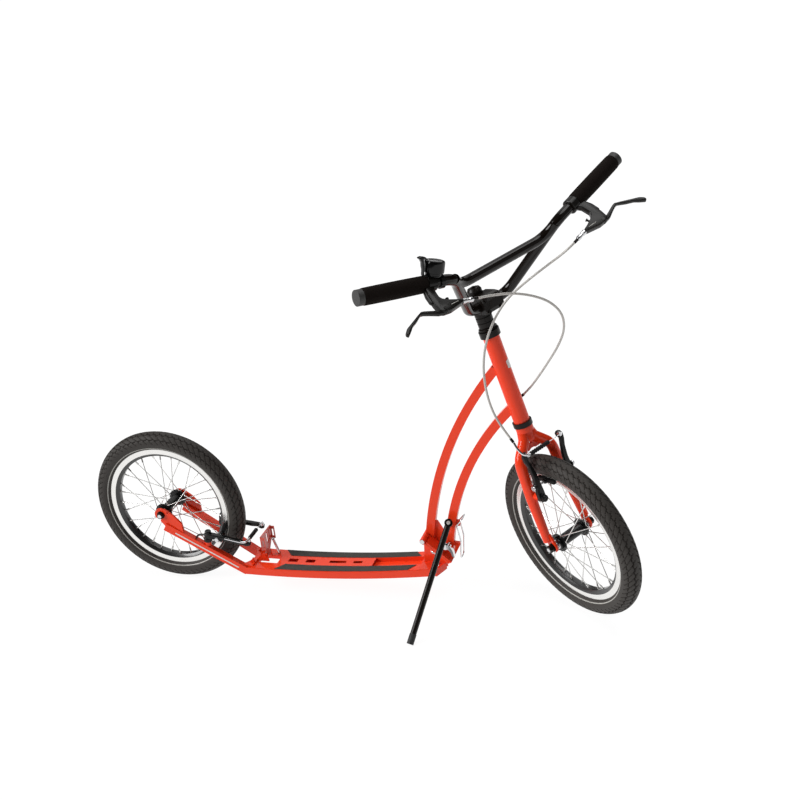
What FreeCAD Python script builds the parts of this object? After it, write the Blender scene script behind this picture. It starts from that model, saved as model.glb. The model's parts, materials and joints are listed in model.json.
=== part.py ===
import FreeCAD, Part
import math
import os

# A folding kick scooter with two spoked wheels, in millimetres. While it is drawn, +X points
# forward, +Y to the rider's left and +Z up, with the rear axle above x = 0 and the ground at
# z = 0. At the end everything shifts so that the origin is at the bottom centre of its box.
# The handlebar and front wheel are turned to the rider's right, as the scooter stands parked.

V = FreeCAD.Vector
Z_AXIS = V(0, 0, 1)

# Driving dimensions
TYRE_RADIUS = 199.5
TYRE_SECTION = 22.5
WHEELBASE_AXIS = V(978.8, 0, 191.7)      # point of the steering axis level with the front axle
FORK_OFFSET = 27.3
HEAD_LEAN = -15.05                       # degrees that the steering axis leans back
STEER_ANGLE = -36.5                      # degrees, parked with the bar turned to the right
SPOKE_COUNT = 32
DECK_LOW_X = 245.0                       # lowest point of the bowed side rails
DECK_LOW_Z = 43.2
DECK_BOW_RADIUS = 2850.0
RAIL_HEIGHT = 18.0
RAIL_WIDTH = 15.0
RAIL_WALL = 1.8
DECK_SHEET = 1.5
STAY_HEIGHT = 20.0
KINK_X = 197.0                           # where the stays turn into the deck's rails
KINK_HALF_WIDTH = 46.0
FRONT_HALF_WIDTH = 41.0
AXLE_HALF_WIDTH = 57.5
RAIL_FRONT_X = 683.0
HINGE_POINT = V(662, 0, 167)             # rear end of the fold's slanted parting plane
HINGE_SLOPE = 40.7                       # degrees the parting plane falls towards the front
HINGE_HALF_WIDTH = 40.0
HINGE_LENGTH = 79.0
RISER_HALF = 8.0
PLATE = 4.0
GAP = 0.3
PIN_PLAY = 0.05
STEERER_RADIUS = 14.3
STEERER_TOP = 590.0
HEAD_BOTTOM = 283.0                      # along the steering axis
HEAD_TOP = 485.5
HEAD_RADIUS = 18.0
BAR_RADIUS = 11.1
BAR_CLAMP = V(34, 0, 562)                # steering coordinates: forward, left, up the axis
BAR_LOW_BEND = V(34, 51, 562)
BAR_HIGH_BEND = V(158, 135, 678)
BAR_END = V(147, 334, 730)
CROSSBAR_SHARE = 0.79                    # how far up the bar its cross tube sits
CROSSBAR_RADIUS = 10.6
CABLE_RADIUS = 2.5
BRAKE_TIP = 107.0                        # brake arm, pivot to cable
BRAKE_PAD = 29.0                         # brake arm, pivot to pad


# Small helpers
def cylinder(radius, start, end):
    along = end - start
    return Part.makeCylinder(radius, along.Length, start, along)


def ring(outer, inner, start, end):
    return cylinder(outer, start, end).cut(cylinder(inner, start, end))


def block(x0, x1, y0, y1, z0, z1):
    return Part.makeBox(x1 - x0, y1 - y0, z1 - z0, V(x0, y0, z0))


def prism(corners, y0, y1):
    """Side outline of (x, z) corners, given thickness from y0 to y1."""
    points = [V(x, y0, z) for x, z in corners]
    face = Part.Face(Part.makePolygon(points + points[:1]))
    return face.extrude(V(0, y1 - y0, 0))


def plan_prism(corners, z0, z1):
    """Plan outline of (x, y) corners, given height from z0 to z1."""
    points = [V(x, y, z0) for x, y in corners]
    face = Part.Face(Part.makePolygon(points + points[:1]))
    return face.extrude(V(0, 0, z1 - z0))


def cross_prism(corners, x0, x1):
    """Front outline of (y, z) corners, given depth from x0 to x1."""
    points = [V(x0, y, z) for y, z in corners]
    face = Part.Face(Part.makePolygon(points + points[:1]))
    return face.extrude(V(x1 - x0, 0, 0))


def fuse(first, *others):
    return first.fuse(list(others)).removeSplitter()


def mirrored(shape):
    return shape.mirror(V(0, 0, 0), V(0, 1, 0))


def placed(shape, placement):
    copy = shape.copy()
    copy.Placement = placement.multiply(copy.Placement)
    return copy


def frame_of(origin, x_axis, y_axis, z_axis):
    """Placement that carries the X, Y and Z axes onto three perpendicular directions."""
    matrix = FreeCAD.Matrix(x_axis.x, y_axis.x, z_axis.x, origin.x,
                            x_axis.y, y_axis.y, z_axis.y, origin.y,
                            x_axis.z, y_axis.z, z_axis.z, origin.z,
                            0, 0, 0, 1)
    return FreeCAD.Placement(matrix)


def route_wire(points, radii=None):
    """Straight runs through the points, joined by tangent arcs."""
    edges, here = [], points[0]
    least = None
    for index in range(1, len(points) - 1):
        before, corner, after = points[index - 1], points[index], points[index + 1]
        run_in, run_out = corner - before, after - corner
        turn = run_in.getAngle(run_out)
        half = math.tan(turn / 2)
        if radii:
            radius = radii[index - 1]
        else:
            radius = 0.45 * min(run_in.Length, run_out.Length) / half
        least = radius if least is None else min(least, radius)
        to_corner, from_corner = V(run_in).normalize(), V(run_out).normalize()
        arc_start = corner - to_corner * (radius * half)
        arc_end = corner + from_corner * (radius * half)
        inward = (from_corner - to_corner).normalize()
        depth = radius / math.cos(turn / 2) - radius
        edges.append(Part.LineSegment(here, arc_start).toShape())
        edges.append(Part.Arc(arc_start, corner + inward * depth, arc_end).toShape())
        here = arc_end
    edges.append(Part.LineSegment(here, points[-1]).toShape())
    wire = Part.Wire(edges)
    wire_length = sum(edge.Length for edge in edges)
    return wire, wire_length, least


def pipe(points, radius, radii=None, name=None):
    """Round rod along a route. A named one prints its tightest bend and checks its volume."""
    wire, length, least = route_wire(points, radii)
    start = points[1] - points[0]
    section = Part.Wire(Part.makeCircle(radius, points[0], start))
    rod = wire.makePipeShell([section], True, False)
    rod = Part.Solid(rod) if rod.ShapeType == "Shell" else rod
    if rod.Volume < 0:
        rod.reverse()
    if name:
        expected = math.pi * radius ** 2 * length
        print(f"{name}: length {length:.1f}, tightest bend {least:.1f}, "
              f"volume {rod.Volume / expected:.4f} of section times length")
    return rod


def compound(shapes):
    return Part.makeCompound(shapes)


# Placements
def steering_frame(turn):
    lean = FreeCAD.Rotation(V(0, 1, 0), HEAD_LEAN)
    swing = FreeCAD.Rotation(V(0, 0, 1), turn)
    return FreeCAD.Placement(WHEELBASE_AXIS, lean.multiply(swing))


HEAD = steering_frame(0)
STEERED = steering_frame(STEER_ANGLE)
HINGE = FreeCAD.Placement(HINGE_POINT, FreeCAD.Rotation(V(0, 1, 0), HINGE_SLOPE))
REAR_AXLE = V(0, 0, TYRE_RADIUS)


def bar_axes(side):
    """Grip direction, lever direction and their normal, in steering coordinates."""
    bend = V(BAR_HIGH_BEND.x, side * BAR_HIGH_BEND.y, BAR_HIGH_BEND.z)
    end = V(BAR_END.x, side * BAR_END.y, BAR_END.z)
    along = (end - bend).normalize()
    ahead = V(1, 0, -1)
    reach = (ahead - along * ahead.dot(along)).normalize()
    normal = along.cross(reach)
    return bend, along, reach, normal


# Deck and rear stays
def rail_low(x):
    return DECK_LOW_Z + (x - DECK_LOW_X) ** 2 / (2 * DECK_BOW_RADIUS)


def bow_arc(x0, x1, height, y):
    """Arc of the bowed deck, a given height above the rails' underside."""
    radius = DECK_BOW_RADIUS - height
    centre_z = DECK_LOW_Z + DECK_BOW_RADIUS

    def at(x):
        return V(x, y, centre_z - math.sqrt(radius ** 2 - (x - DECK_LOW_X) ** 2))
    return Part.Arc(at(x0), at((x0 + x1) / 2), at(x1)).toShape(), at(x0), at(x1)


def bowed_slab(x0, x1, low, high, y0, y1):
    """Slab that follows the deck's bow between two heights."""
    under, under_start, under_end = bow_arc(x0, x1, low, y0)
    over, over_start, over_end = bow_arc(x0, x1, high, y0)
    edges = [under, Part.LineSegment(under_end, over_end).toShape(), over,
             Part.LineSegment(over_start, under_start).toShape()]
    face = Part.Face(Part.Wire(Part.__sortEdges__(edges)))
    return face.extrude(V(0, y1 - y0, 0))


def deck_width(x):
    """Half the deck's width, which narrows towards the front."""
    share = (x - KINK_X) / (RAIL_FRONT_X - KINK_X)
    return KINK_HALF_WIDTH + share * (FRONT_HALF_WIDTH - KINK_HALF_WIDTH)


STAY_END_LOW = (1.0, 160.3)
STAY_CORNER_LOW = (194.0, rail_low(194.0))


def stay_outline(inset):
    """Side outline of a stay, from the dropout down to the deck."""
    (x0, z0), (x1, z1) = STAY_END_LOW, STAY_CORNER_LOW
    run = math.hypot(x1 - x0, z1 - z0)
    ahead = ((x1 - x0) / run, (z1 - z0) / run)
    up = (-ahead[1], ahead[0])

    def at(along, rise):
        return (x0 + ahead[0] * along + up[0] * rise, z0 + ahead[1] * along + up[1] * rise)
    start = inset
    return [at(start, inset), at(run + 2, inset), at(run + 8, STAY_HEIGHT / 2),
            at(run + 2, STAY_HEIGHT - inset), at(start, STAY_HEIGHT - inset)]


def side_rail(inset):
    """Left stay and rail, drawn hollow by cutting a second one with an inset."""
    outer_y = KINK_HALF_WIDTH
    y0, y1 = outer_y - RAIL_WIDTH + inset, outer_y - inset
    stay = prism(stay_outline(inset), y0, y1)
    flare = math.degrees(math.atan((AXLE_HALF_WIDTH - KINK_HALF_WIDTH) / KINK_X))
    stay.rotate(V(KINK_X, outer_y, 0), Z_AXIS, -flare)
    rail = bowed_slab(KINK_X - 3, RAIL_FRONT_X - inset, inset, RAIL_HEIGHT - inset, y0, y1)
    taper = math.degrees(math.atan((KINK_HALF_WIDTH - FRONT_HALF_WIDTH)
                                   / (RAIL_FRONT_X - KINK_X)))
    rail.rotate(V(KINK_X, outer_y, 0), Z_AXIS, -taper)
    return fuse(stay, rail)


REAR_BOSS = V(112, 42, 145)              # pivot of the left rear brake arm
REAR_ARM_DIP = 8.28                      # degrees the rear brake arms point down


def rear_brake_frame(side):
    """Pivot frame of a rear brake arm: X along the arm, Y outward, Z up the boss."""
    dip = math.radians(REAR_ARM_DIP)
    along = V(math.cos(dip), 0, -math.sin(dip))
    up = V(math.sin(dip), 0, math.cos(dip))
    return frame_of(V(REAR_BOSS.x, side * REAR_BOSS.y, REAR_BOSS.z), along, V(0, 1, 0), up)


def dropout_plate():
    disc = Part.makeCylinder(17, 5, V(0, 47.5, TYRE_RADIUS), V(0, 1, 0))
    web = prism([(-6, 184), (10, 216), (31.7, 200.4), (51.6, 177.9), (52, 150), (30, 155),
                 (6, 168)], 47.5, 52.5)
    plate = fuse(disc, web)
    axle_slot = fuse(Part.makeCylinder(5.1, 5, V(0, 47.5, TYRE_RADIUS), V(0, 1, 0)),
                     prism([(5.1, TYRE_RADIUS), (-5.1, TYRE_RADIUS), (-19, TYRE_RADIUS - 16),
                            (-9, TYRE_RADIUS - 24)], 47.5, 52.5))
    lace_hole = Part.makeCylinder(2.5, 5, V(17.9, 47.5, 206.4), V(0, 1, 0))
    return plate.cut(axle_slot).cut(lace_hole)


def make_rear_frame():
    filled = side_rail(0)
    hollow = filled.cut(side_rail(RAIL_WALL))
    boss = placed(fuse(Part.makeCylinder(8, 24, V(0, 0, -30)),
                       Part.makeCylinder(4, 18, V(0, 0, -6))), rear_brake_frame(1))
    dropout = dropout_plate()
    boss = boss.cut(filled)
    boss = max(boss.Solids, key=lambda solid: solid.Volume)
    left = fuse(hollow.cut(dropout), boss)
    return compound([left, mirrored(left)]), compound([dropout, mirrored(dropout)]), filled


SHEET_LOW = RAIL_HEIGHT + PIN_PLAY
SHEET_TOP = SHEET_LOW + DECK_SHEET
CHANNEL_HALF = 17.5
CHANNEL_DEPTH = 10.0
SHEET_REAR_X = 214.0
SHEET_FRONT_X = 683.0
CHANNEL_FRONT_X = 643.0
CHANNEL_REAR_X = 280.0
COVER_FRONT_X = 519.0
TAPE_THICK = 1.0


def make_deck_plate():
    """Sheet over the rails with a sunken channel down its middle."""
    sheet = bowed_slab(SHEET_REAR_X, SHEET_FRONT_X, SHEET_LOW, SHEET_TOP, -60, 60)
    outline = plan_prism([(SHEET_REAR_X, -deck_width(SHEET_REAR_X) + 1),
                          (SHEET_FRONT_X, -deck_width(SHEET_FRONT_X) + 1),
                          (SHEET_FRONT_X, deck_width(SHEET_FRONT_X) - 1),
                          (SHEET_REAR_X, deck_width(SHEET_REAR_X) - 1)], 0, 200)
    opening = block(SHEET_REAR_X + 8, CHANNEL_FRONT_X, -CHANNEL_HALF, CHANNEL_HALF, 0, 200)
    sheet = sheet.common(outline).cut(opening)
    floor_low = SHEET_TOP - CHANNEL_DEPTH - DECK_SHEET
    wall = CHANNEL_HALF + DECK_SHEET
    channel = bowed_slab(CHANNEL_REAR_X, CHANNEL_FRONT_X + DECK_SHEET, floor_low, SHEET_LOW,
                         -wall, wall)
    hollow = bowed_slab(CHANNEL_REAR_X - 1, CHANNEL_FRONT_X, floor_low + DECK_SHEET,
                        SHEET_TOP + 1, -CHANNEL_HALF, CHANNEL_HALF)
    return fuse(sheet, channel.cut(hollow))


COVER_SLOTS = ((296, 321, 7), (342, 366, 7), (404, 447, 5), (466, 489, 5))


def make_deck_cover():
    cover = bowed_slab(CHANNEL_REAR_X - 8, COVER_FRONT_X, SHEET_LOW, SHEET_TOP,
                       -CHANNEL_HALF, CHANNEL_HALF)
    for start, end, half in COVER_SLOTS:
        cover = cover.cut(block(start, end, -half, half, 0, 200))
    return cover


def make_grip_tapes():
    strip = bowed_slab(270, 640, SHEET_TOP, SHEET_TOP + TAPE_THICK, 0, 60)
    outline = plan_prism([(295, 19), (633, 19), (617, deck_width(617) - 1.5),
                          (275, deck_width(275) - 1.5)], 0, 200)
    left = strip.common(outline)
    return compound([left, mirrored(left)])


CATCH_PIN = V(241, 0, 78)
CATCH_PIN_RADIUS = 3.0


def make_rear_bridge(rails):
    """Yoke across the stays with a hollowed rear edge, its web, gussets, ears and pin."""
    half = 40.0
    top = block(190, 218, -half, half, 62.9, 66.9).cut(
        Part.makeCylinder(43, 20, V(164, 0, 55)))
    web = block(209.5, 213.5, -half, half, 45, 64)
    gusset = prism([(205, 66.9), (217, 66.9), (214, 80)], 24, 28)
    ear = prism([(212, 62.95), (249, 62.95), (246, 84), (236, 84)], 9.5, 12.5)
    bridge = fuse(top, web)
    for part in (gusset, ear):
        bridge = fuse(bridge, part, mirrored(part))
    bridge = bridge.cut([rails, mirrored(rails)])
    bridge = max(bridge.Solids, key=lambda solid: solid.Volume)
    pin = cylinder(CATCH_PIN_RADIUS, V(CATCH_PIN.x, -14, CATCH_PIN.z),
                   V(CATCH_PIN.x, 14, CATCH_PIN.z))
    return fuse(bridge, pin)


def make_catch_plate():
    """Sprung plate that stands at the rear of the deck on a cross pin."""
    plate = block(244, 247, -30, 30, 104, 141)
    foot = block(244, 247, -8.8, 8.8, 76, 104)
    barrel = cylinder(6.5, V(CATCH_PIN.x, -8.8, CATCH_PIN.z), V(CATCH_PIN.x, 8.8, CATCH_PIN.z))
    flange = block(247, 256, 27, 30, 106, 139)
    shoulder = cross_prism([(-8.8, 88), (8.8, 88), (22, 104), (-22, 104)], 244, 247)
    plate = fuse(plate, foot, barrel, shoulder, flange, mirrored(flange))
    slot = fuse(block(240, 250, -1, 7, 112, 132), Part.makeCylinder(4, 10, V(240, 3, 132), V(1, 0, 0)),
                Part.makeCylinder(4, 10, V(240, 3, 112), V(1, 0, 0)))
    side_slot = block(248.5, 253.5, 26, 31, 112, 132)
    bore = cylinder(CATCH_PIN_RADIUS + PIN_PLAY, V(CATCH_PIN.x, -10, CATCH_PIN.z),
                    V(CATCH_PIN.x, 10, CATCH_PIN.z))
    return plate.cut(slot).cut(side_slot).cut(mirrored(side_slot)).cut(bore)


SPRING_TOP = V(252, 22, 106)
SPRING_FOOT = V(260, 27, 64.6)


def make_catch_spring():
    return ring(3.4, 2.2, SPRING_TOP, SPRING_FOOT)


# Fold
def hinge_part(shape):
    return placed(shape, HINGE)


KNUCKLE_RADIUS = 6.5
KNUCKLE_SPLIT = 13.8
HINGE_BOLT_RADIUS = 4.0


def make_hinge_riser():
    """Boxed web that stands on the deck under the hinge, with walls to the rails' ends."""
    outline = [(648.5, 80), (655.5, 175), (735, 175), (712, 113), (703, 93), (698, 78)]
    inner = [(651, 70), (657.5, 178), (700, 178), (708.5, 113), (700.5, 94), (695, 70)]
    box = prism(outline, -RISER_HALF, RISER_HALF)
    box = box.cut(prism(inner, -RISER_HALF + 2, RISER_HALF - 2))
    box = box.cut(hinge_part(block(-40, 130, -60, 60, -PLATE, 90)))
    box = box.cut(hinge_part(cylinder(KNUCKLE_RADIUS + 0.7, V(-1, -20, 0), V(-1, 20, 0))))
    box = box.cut(bowed_slab(600, RAIL_FRONT_X + 0.2, -30, SHEET_TOP, -60, 60))
    box = max(box.Solids, key=lambda solid: solid.Volume)
    start = RAIL_FRONT_X + 0.2
    edge = deck_width(start)
    wall = plan_prism([(start, edge), (start + 4, edge), (702, RISER_HALF - 3),
                       (698, RISER_HALF - 3), (start, edge - 8)], 76.5, 94.5)
    walls = wall.fuse(mirrored(wall)).cut(prism(inner, -RISER_HALF + 2, RISER_HALF - 2))
    return fuse(box, walls)


def make_lower_hinge_plate():
    plate = block(2, HINGE_LENGTH, -HINGE_HALF_WIDTH, HINGE_HALF_WIDTH, -PLATE, 0)
    plate = plate.cut(block(-10, 8, -KNUCKLE_SPLIT - GAP, KNUCKLE_SPLIT + GAP, -10, 10))
    knuckle = cylinder(KNUCKLE_RADIUS, V(-1, KNUCKLE_SPLIT + GAP, 0), V(-1, HINGE_HALF_WIDTH, 0))
    root = block(-1, 6, KNUCKLE_SPLIT + GAP, HINGE_HALF_WIDTH, -KNUCKLE_RADIUS, 0)
    plate = fuse(plate, knuckle, root, mirrored(knuckle), mirrored(root))
    bore = cylinder(HINGE_BOLT_RADIUS, V(-1, -60, 0), V(-1, 60, 0))
    return hinge_part(plate.cut(bore))


def make_upper_hinge_plate(tubes):
    low, high = GAP, GAP + PLATE
    half = HINGE_HALF_WIDTH - 0.5
    plate = block(8, HINGE_LENGTH + 2, -half, half, low, high)
    neck = block(-1, 9, -KNUCKLE_SPLIT, KNUCKLE_SPLIT, low, high)
    knuckle = cylinder(KNUCKLE_RADIUS, V(-1, -KNUCKLE_SPLIT, 0), V(-1, KNUCKLE_SPLIT, 0))
    upper = fuse(plate, neck, knuckle)
    upper = upper.cut(cylinder(HINGE_BOLT_RADIUS + PIN_PLAY, V(-1, -60, 0), V(-1, 60, 0)))
    upper = hinge_part(upper)
    web = prism([(680, 200), (690, 203), (712, 160), (712, 120), (680, 130)], -2, 2)
    upper = fuse(upper, web.cut(hinge_part(block(-60, 140, -40, 40, -80, low + 0.5))))
    upper = upper.cut(tubes)
    return max(upper.Solids, key=lambda solid: solid.Volume)


def make_hinge_bolts():
    """Fold bolt through the knuckles, and the clamp bolt with its domed nut on the riser."""
    half = HINGE_HALF_WIDTH
    fold = fuse(cylinder(HINGE_BOLT_RADIUS, V(-1, -half - 1, 0), V(-1, half + 1, 0)),
                cylinder(5.5, V(-1, half, 0), V(-1, half + 3, 0)),
                cylinder(5.5, V(-1, -half - 3, 0), V(-1, -half, 0)))
    x, z, near = CLAMP_BOLT.x, CLAMP_BOLT.z, -RISER_HALF
    shank = cylinder(4, V(x, near - 2, z), V(x, RISER_HALF + 1, z))
    washer = cylinder(8.5, V(x, near - 1.5, z), V(x, near, z))
    nut = cylinder(7, V(x, near - 7.5, z), V(x, near - 1.5, z))
    dome = Part.makeSphere(5.8, V(x, near - 7.5, z))
    head = cylinder(7, V(x, RISER_HALF, z), V(x, RISER_HALF + 5, z))
    return hinge_part(fold), fuse(shank, washer, nut, dome, head)


CLAMP_BOLT = V(677, 0, 127)


# Front frame
TUBE_DEPTH = 20.0
TUBE_WIDTH = 15.0
REAR_TUBE_CENTRE = (1500.7, 46.7)
REAR_TUBE_RADIUS = 839.2
FRONT_TUBE_CENTRE = (1320.2, 65.9)
FRONT_TUBE_RADIUS = 610.7


def curved_tube(centre, radius, low_z, high_z, inset):
    """Bowed rectangular tube between two heights."""
    cx, cz = centre

    def arc(r):
        def at(z):
            return V(cx - math.sqrt(r ** 2 - (z - cz) ** 2), -TUBE_WIDTH / 2 + inset, z)
        ends = at(low_z), at(high_z)
        return Part.Arc(ends[0], at((low_z + high_z) / 2), ends[1]).toShape(), ends
    back, back_ends = arc(radius + TUBE_DEPTH / 2 - inset)
    front, front_ends = arc(radius - TUBE_DEPTH / 2 + inset)
    edges = [back, Part.LineSegment(back_ends[1], front_ends[1]).toShape(), front,
             Part.LineSegment(front_ends[0], back_ends[0]).toShape()]
    face = Part.Face(Part.Wire(Part.__sortEdges__(edges)))
    return face.extrude(V(0, TUBE_WIDTH - 2 * inset, 0))


def make_curved_tubes():
    head = placed(Part.makeCylinder(HEAD_RADIUS, 260, V(0, 0, HEAD_BOTTOM - 20)), HEAD)
    under = hinge_part(block(-100, 160, -60, 60, -120, GAP + PLATE))
    beyond = placed(block(0, 160, -60, 60, 200, 620), HEAD)
    tubes = []
    for centre, radius, high_z in ((REAR_TUBE_CENTRE, REAR_TUBE_RADIUS, 590),
                                   (FRONT_TUBE_CENTRE, FRONT_TUBE_RADIUS, 530)):
        filled = curved_tube(centre, radius, 105, high_z, 0)
        tube = filled.cut(curved_tube(centre, radius, 100, high_z + 6, 1.6))
        tube = tube.cut(under).cut(head).cut(beyond)
        tubes.append(max(tube.Solids, key=lambda solid: solid.Volume))
    hook = prism([(718, 150), (740, 148), (740, 142), (718, 139)], -4, 4)
    lug = prism([(730, 206), (743.5, 206), (743.5, 194), (727, 194)], -5, 5)
    lug = lug.cut(cylinder(LOOP_WIRE + PIN_PLAY, V(LOOP_PIVOT.x, -10, LOOP_PIVOT.z),
                           V(LOOP_PIVOT.x, 10, LOOP_PIVOT.z)))
    filled = curved_tube(FRONT_TUBE_CENTRE, FRONT_TUBE_RADIUS, 105, 530, 0)
    tubes[1] = fuse(tubes[1], hook.cut(filled), lug.cut(filled))
    return tubes


def make_head_tube():
    return placed(ring(HEAD_RADIUS, 15.5, V(0, 0, HEAD_BOTTOM), V(0, 0, HEAD_TOP)), HEAD)


def make_headset_cups():
    lower_cup = ring(21.5, 18.1, V(0, 0, HEAD_BOTTOM - 11), V(0, 0, HEAD_BOTTOM))
    upper_cup = ring(22.5, 18.1, V(0, 0, HEAD_TOP), V(0, 0, HEAD_TOP + 14))
    lower_race = ring(18.1, STEERER_RADIUS + PIN_PLAY, V(0, 0, HEAD_BOTTOM - 10),
                      V(0, 0, HEAD_BOTTOM))
    upper_race = ring(18.1, STEERER_RADIUS + PIN_PLAY, V(0, 0, HEAD_TOP), V(0, 0, HEAD_TOP + 13))
    return placed(compound([lower_cup, upper_cup, lower_race, upper_race]), HEAD)


# Latch on the front frame
LEVER_PIVOT = V(712, 0, 153)
LOOP_PIVOT = V(738.5, 0, 200)
LOOP_WIRE = 1.6


def make_latch_bolt(tube):
    bolt = cylinder(4, V(LEVER_PIVOT.x, -31, LEVER_PIVOT.z), V(LEVER_PIVOT.x, 16, LEVER_PIVOT.z))
    head = cylinder(6, V(LEVER_PIVOT.x, -33, LEVER_PIVOT.z), V(LEVER_PIVOT.x, -30.7, LEVER_PIVOT.z))
    nut = cylinder(6.5, V(LEVER_PIVOT.x, 8.2, LEVER_PIVOT.z), V(LEVER_PIVOT.x, 14, LEVER_PIVOT.z))
    return fuse(bolt, head, nut), tube.cut(bolt)


def make_latch_lever():
    x, z = LEVER_PIVOT.x, LEVER_PIVOT.z
    cam = cylinder(9.5, V(x - 1, -30.4, z), V(x - 1, -18, z))
    blade = prism([(x - 7, z + 8), (x + 2, z + 9), (x + 10, z), (x + 16.5, z - 13),
                   (x + 19, z - 29), (x + 14.5, z - 29), (x + 11, z - 16), (x + 3, z - 6)],
                  -30.0, -20.0)
    bore = cylinder(4 + PIN_PLAY, V(x, -40, z), V(x, 0, z))
    return fuse(cam, blade).cut(bore)


def make_latch_loop():
    """Wire loop that hangs from a lug on the front tube."""
    half = 13.0
    top_z, low_z = LOOP_PIVOT.z, 112.0
    x_top, x_low = LOOP_PIVOT.x, 741.0
    side = [V(x_top, -6, top_z), V(x_top, -half, top_z), V(745, -half, 160),
            V(x_low, -half, low_z), V(x_low, half, low_z), V(745, half, 160),
            V(x_top, half, top_z), V(x_top, 6, top_z)]
    wire = pipe(side, LOOP_WIRE, [4, 60, 8, 8, 60, 4])
    cross = cylinder(LOOP_WIRE, V(x_top, -6.5, top_z), V(x_top, 6.5, top_z))
    upper = [V(x_top, -half, top_z), V(753, -half, 217), V(753, half, 217), V(x_top, half, top_z)]
    return fuse(wire, cross, pipe(upper, LOOP_WIRE, [6, 6]))


# Kickstand
KICK_PIVOT = V(724, -25, 212)
KICK_DOWN = V(-0.21, -0.64, -0.74).normalize()
KICK_UP = V(-0.97, -0.2, 0.14).normalize()
KICK_AXIS = KICK_DOWN.cross(KICK_UP).normalize()
KICK_LENGTH = 282.5
KICK_STUD = 4.0


def make_kickstand_clamp(front_tube_filled):
    band = prism([(704, 203), (735, 199), (738, 213), (707, 217)], -10.3, 10.3)
    band = band.cut(front_tube_filled)
    stud = fuse(cylinder(KICK_STUD, KICK_PIVOT + KICK_AXIS * 22, KICK_PIVOT - KICK_AXIS * 9),
                cylinder(7, KICK_PIVOT + KICK_AXIS * 22, KICK_PIVOT + KICK_AXIS * 6.9),
                cylinder(6.5, KICK_PIVOT - KICK_AXIS * 6.9, KICK_PIVOT - KICK_AXIS * 10.5))
    stud = stud.cut(front_tube_filled)
    return max(fuse(band, stud).Solids, key=lambda solid: solid.Volume)


def make_kickstand_leg():
    eye = cylinder(9.5, KICK_PIVOT - KICK_AXIS * 6.5, KICK_PIVOT + KICK_AXIS * 6.5)
    leg = cylinder(7.2, KICK_PIVOT + KICK_DOWN * 7.5, KICK_PIVOT + KICK_DOWN * (KICK_LENGTH - 24))
    bore = cylinder(KICK_STUD + PIN_PLAY, KICK_PIVOT - KICK_AXIS * 9, KICK_PIVOT + KICK_AXIS * 9)
    return fuse(eye, leg).cut(bore)


def make_kickstand_foot():
    start = KICK_PIVOT + KICK_DOWN * (KICK_LENGTH - 24)
    end = KICK_PIVOT + KICK_DOWN * KICK_LENGTH
    foot = cylinder(7.9, start, end)
    return foot.cut(block(-1000, 1000, -1000, 1000, -60, 0))


# Wheels, drawn about the Y axis at the origin
def revolve(profile):
    """Turn a closed outline of (y, radius) points about the Y axis."""
    points = [V(0, y, r) for y, r in profile]
    face = Part.Face(Part.makePolygon(points + points[:1]))
    return face.revolve(V(0, 0, 0), V(0, 1, 0), 360)


def make_tyre():
    centre = TYRE_RADIUS - TYRE_SECTION
    inner = TYRE_SECTION - 3.2

    def on(radius, y, sign):
        return V(0, y, centre + sign * math.sqrt(radius ** 2 - y ** 2))
    outer_end, inner_end = 12.95, 7.4
    bead_low = 152.7
    top_outer, top_inner = V(0, 0, TYRE_RADIUS), V(0, 0, centre + inner)
    corners = [(outer_end, on(TYRE_SECTION, outer_end, -1).z), (10.4, 158.7), (10.4, bead_low),
               (inner_end, bead_low), (inner_end, on(inner, inner_end, -1).z)]
    edges = [Part.Arc(V(0, corners[0][0], corners[0][1]), top_outer,
                      V(0, -corners[0][0], corners[0][1])).toShape(),
             Part.Arc(V(0, corners[-1][0], corners[-1][1]), top_inner,
                      V(0, -corners[-1][0], corners[-1][1])).toShape()]
    for sign in (1, -1):
        for (y0, r0), (y1, r1) in zip(corners, corners[1:]):
            edges.append(Part.LineSegment(V(0, sign * y0, r0), V(0, sign * y1, r1)).toShape())
    face = Part.Face(Part.Wire(Part.__sortEdges__(edges)))
    return face.revolve(V(0, 0, 0), V(0, 1, 0), 360)


def make_rim(spokes):
    walls = [(12.5, 158.5), (12.5, 146), (6.5, 138), (-6.5, 138), (-12.5, 146), (-12.5, 158.5),
             (-10.5, 158.5), (-10.5, 151.6), (10.5, 151.6), (10.5, 158.5)]
    chamber = [(10.5, 150), (10.5, 147), (5.6, 139.8), (-5.6, 139.8), (-10.5, 147), (-10.5, 150)]
    return revolve(walls).cut(revolve(chamber)).cut(spokes)


def make_spokes(flange):
    """Crossed spokes with their nipples, from alternate flanges to the rim."""
    spokes = []
    step = 360 / SPOKE_COUNT
    for index in range(SPOKE_COUNT):
        side = 1 if index % 2 else -1
        lead = 1 if (index // 2) % 2 else -1
        rim_angle = math.radians(index * step)
        hub_angle = rim_angle + lead * math.radians(1.85 * 2 * step)
        hub = V(18 * math.cos(hub_angle), side * flange, 18 * math.sin(hub_angle))
        rim = V(139.2 * math.cos(rim_angle), side * 2.5, 139.2 * math.sin(rim_angle))
        along = (rim - hub).normalize()
        spoke = cylinder(1.0, hub, rim)
        nipple = cylinder(2.1, rim - along * 12, rim)
        spokes.append(fuse(spoke, nipple))
    return compound(spokes)


BEARING_RADIUS = 11.0
HUB_END = 42.0
AXLE_RADIUS = 5.0


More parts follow.
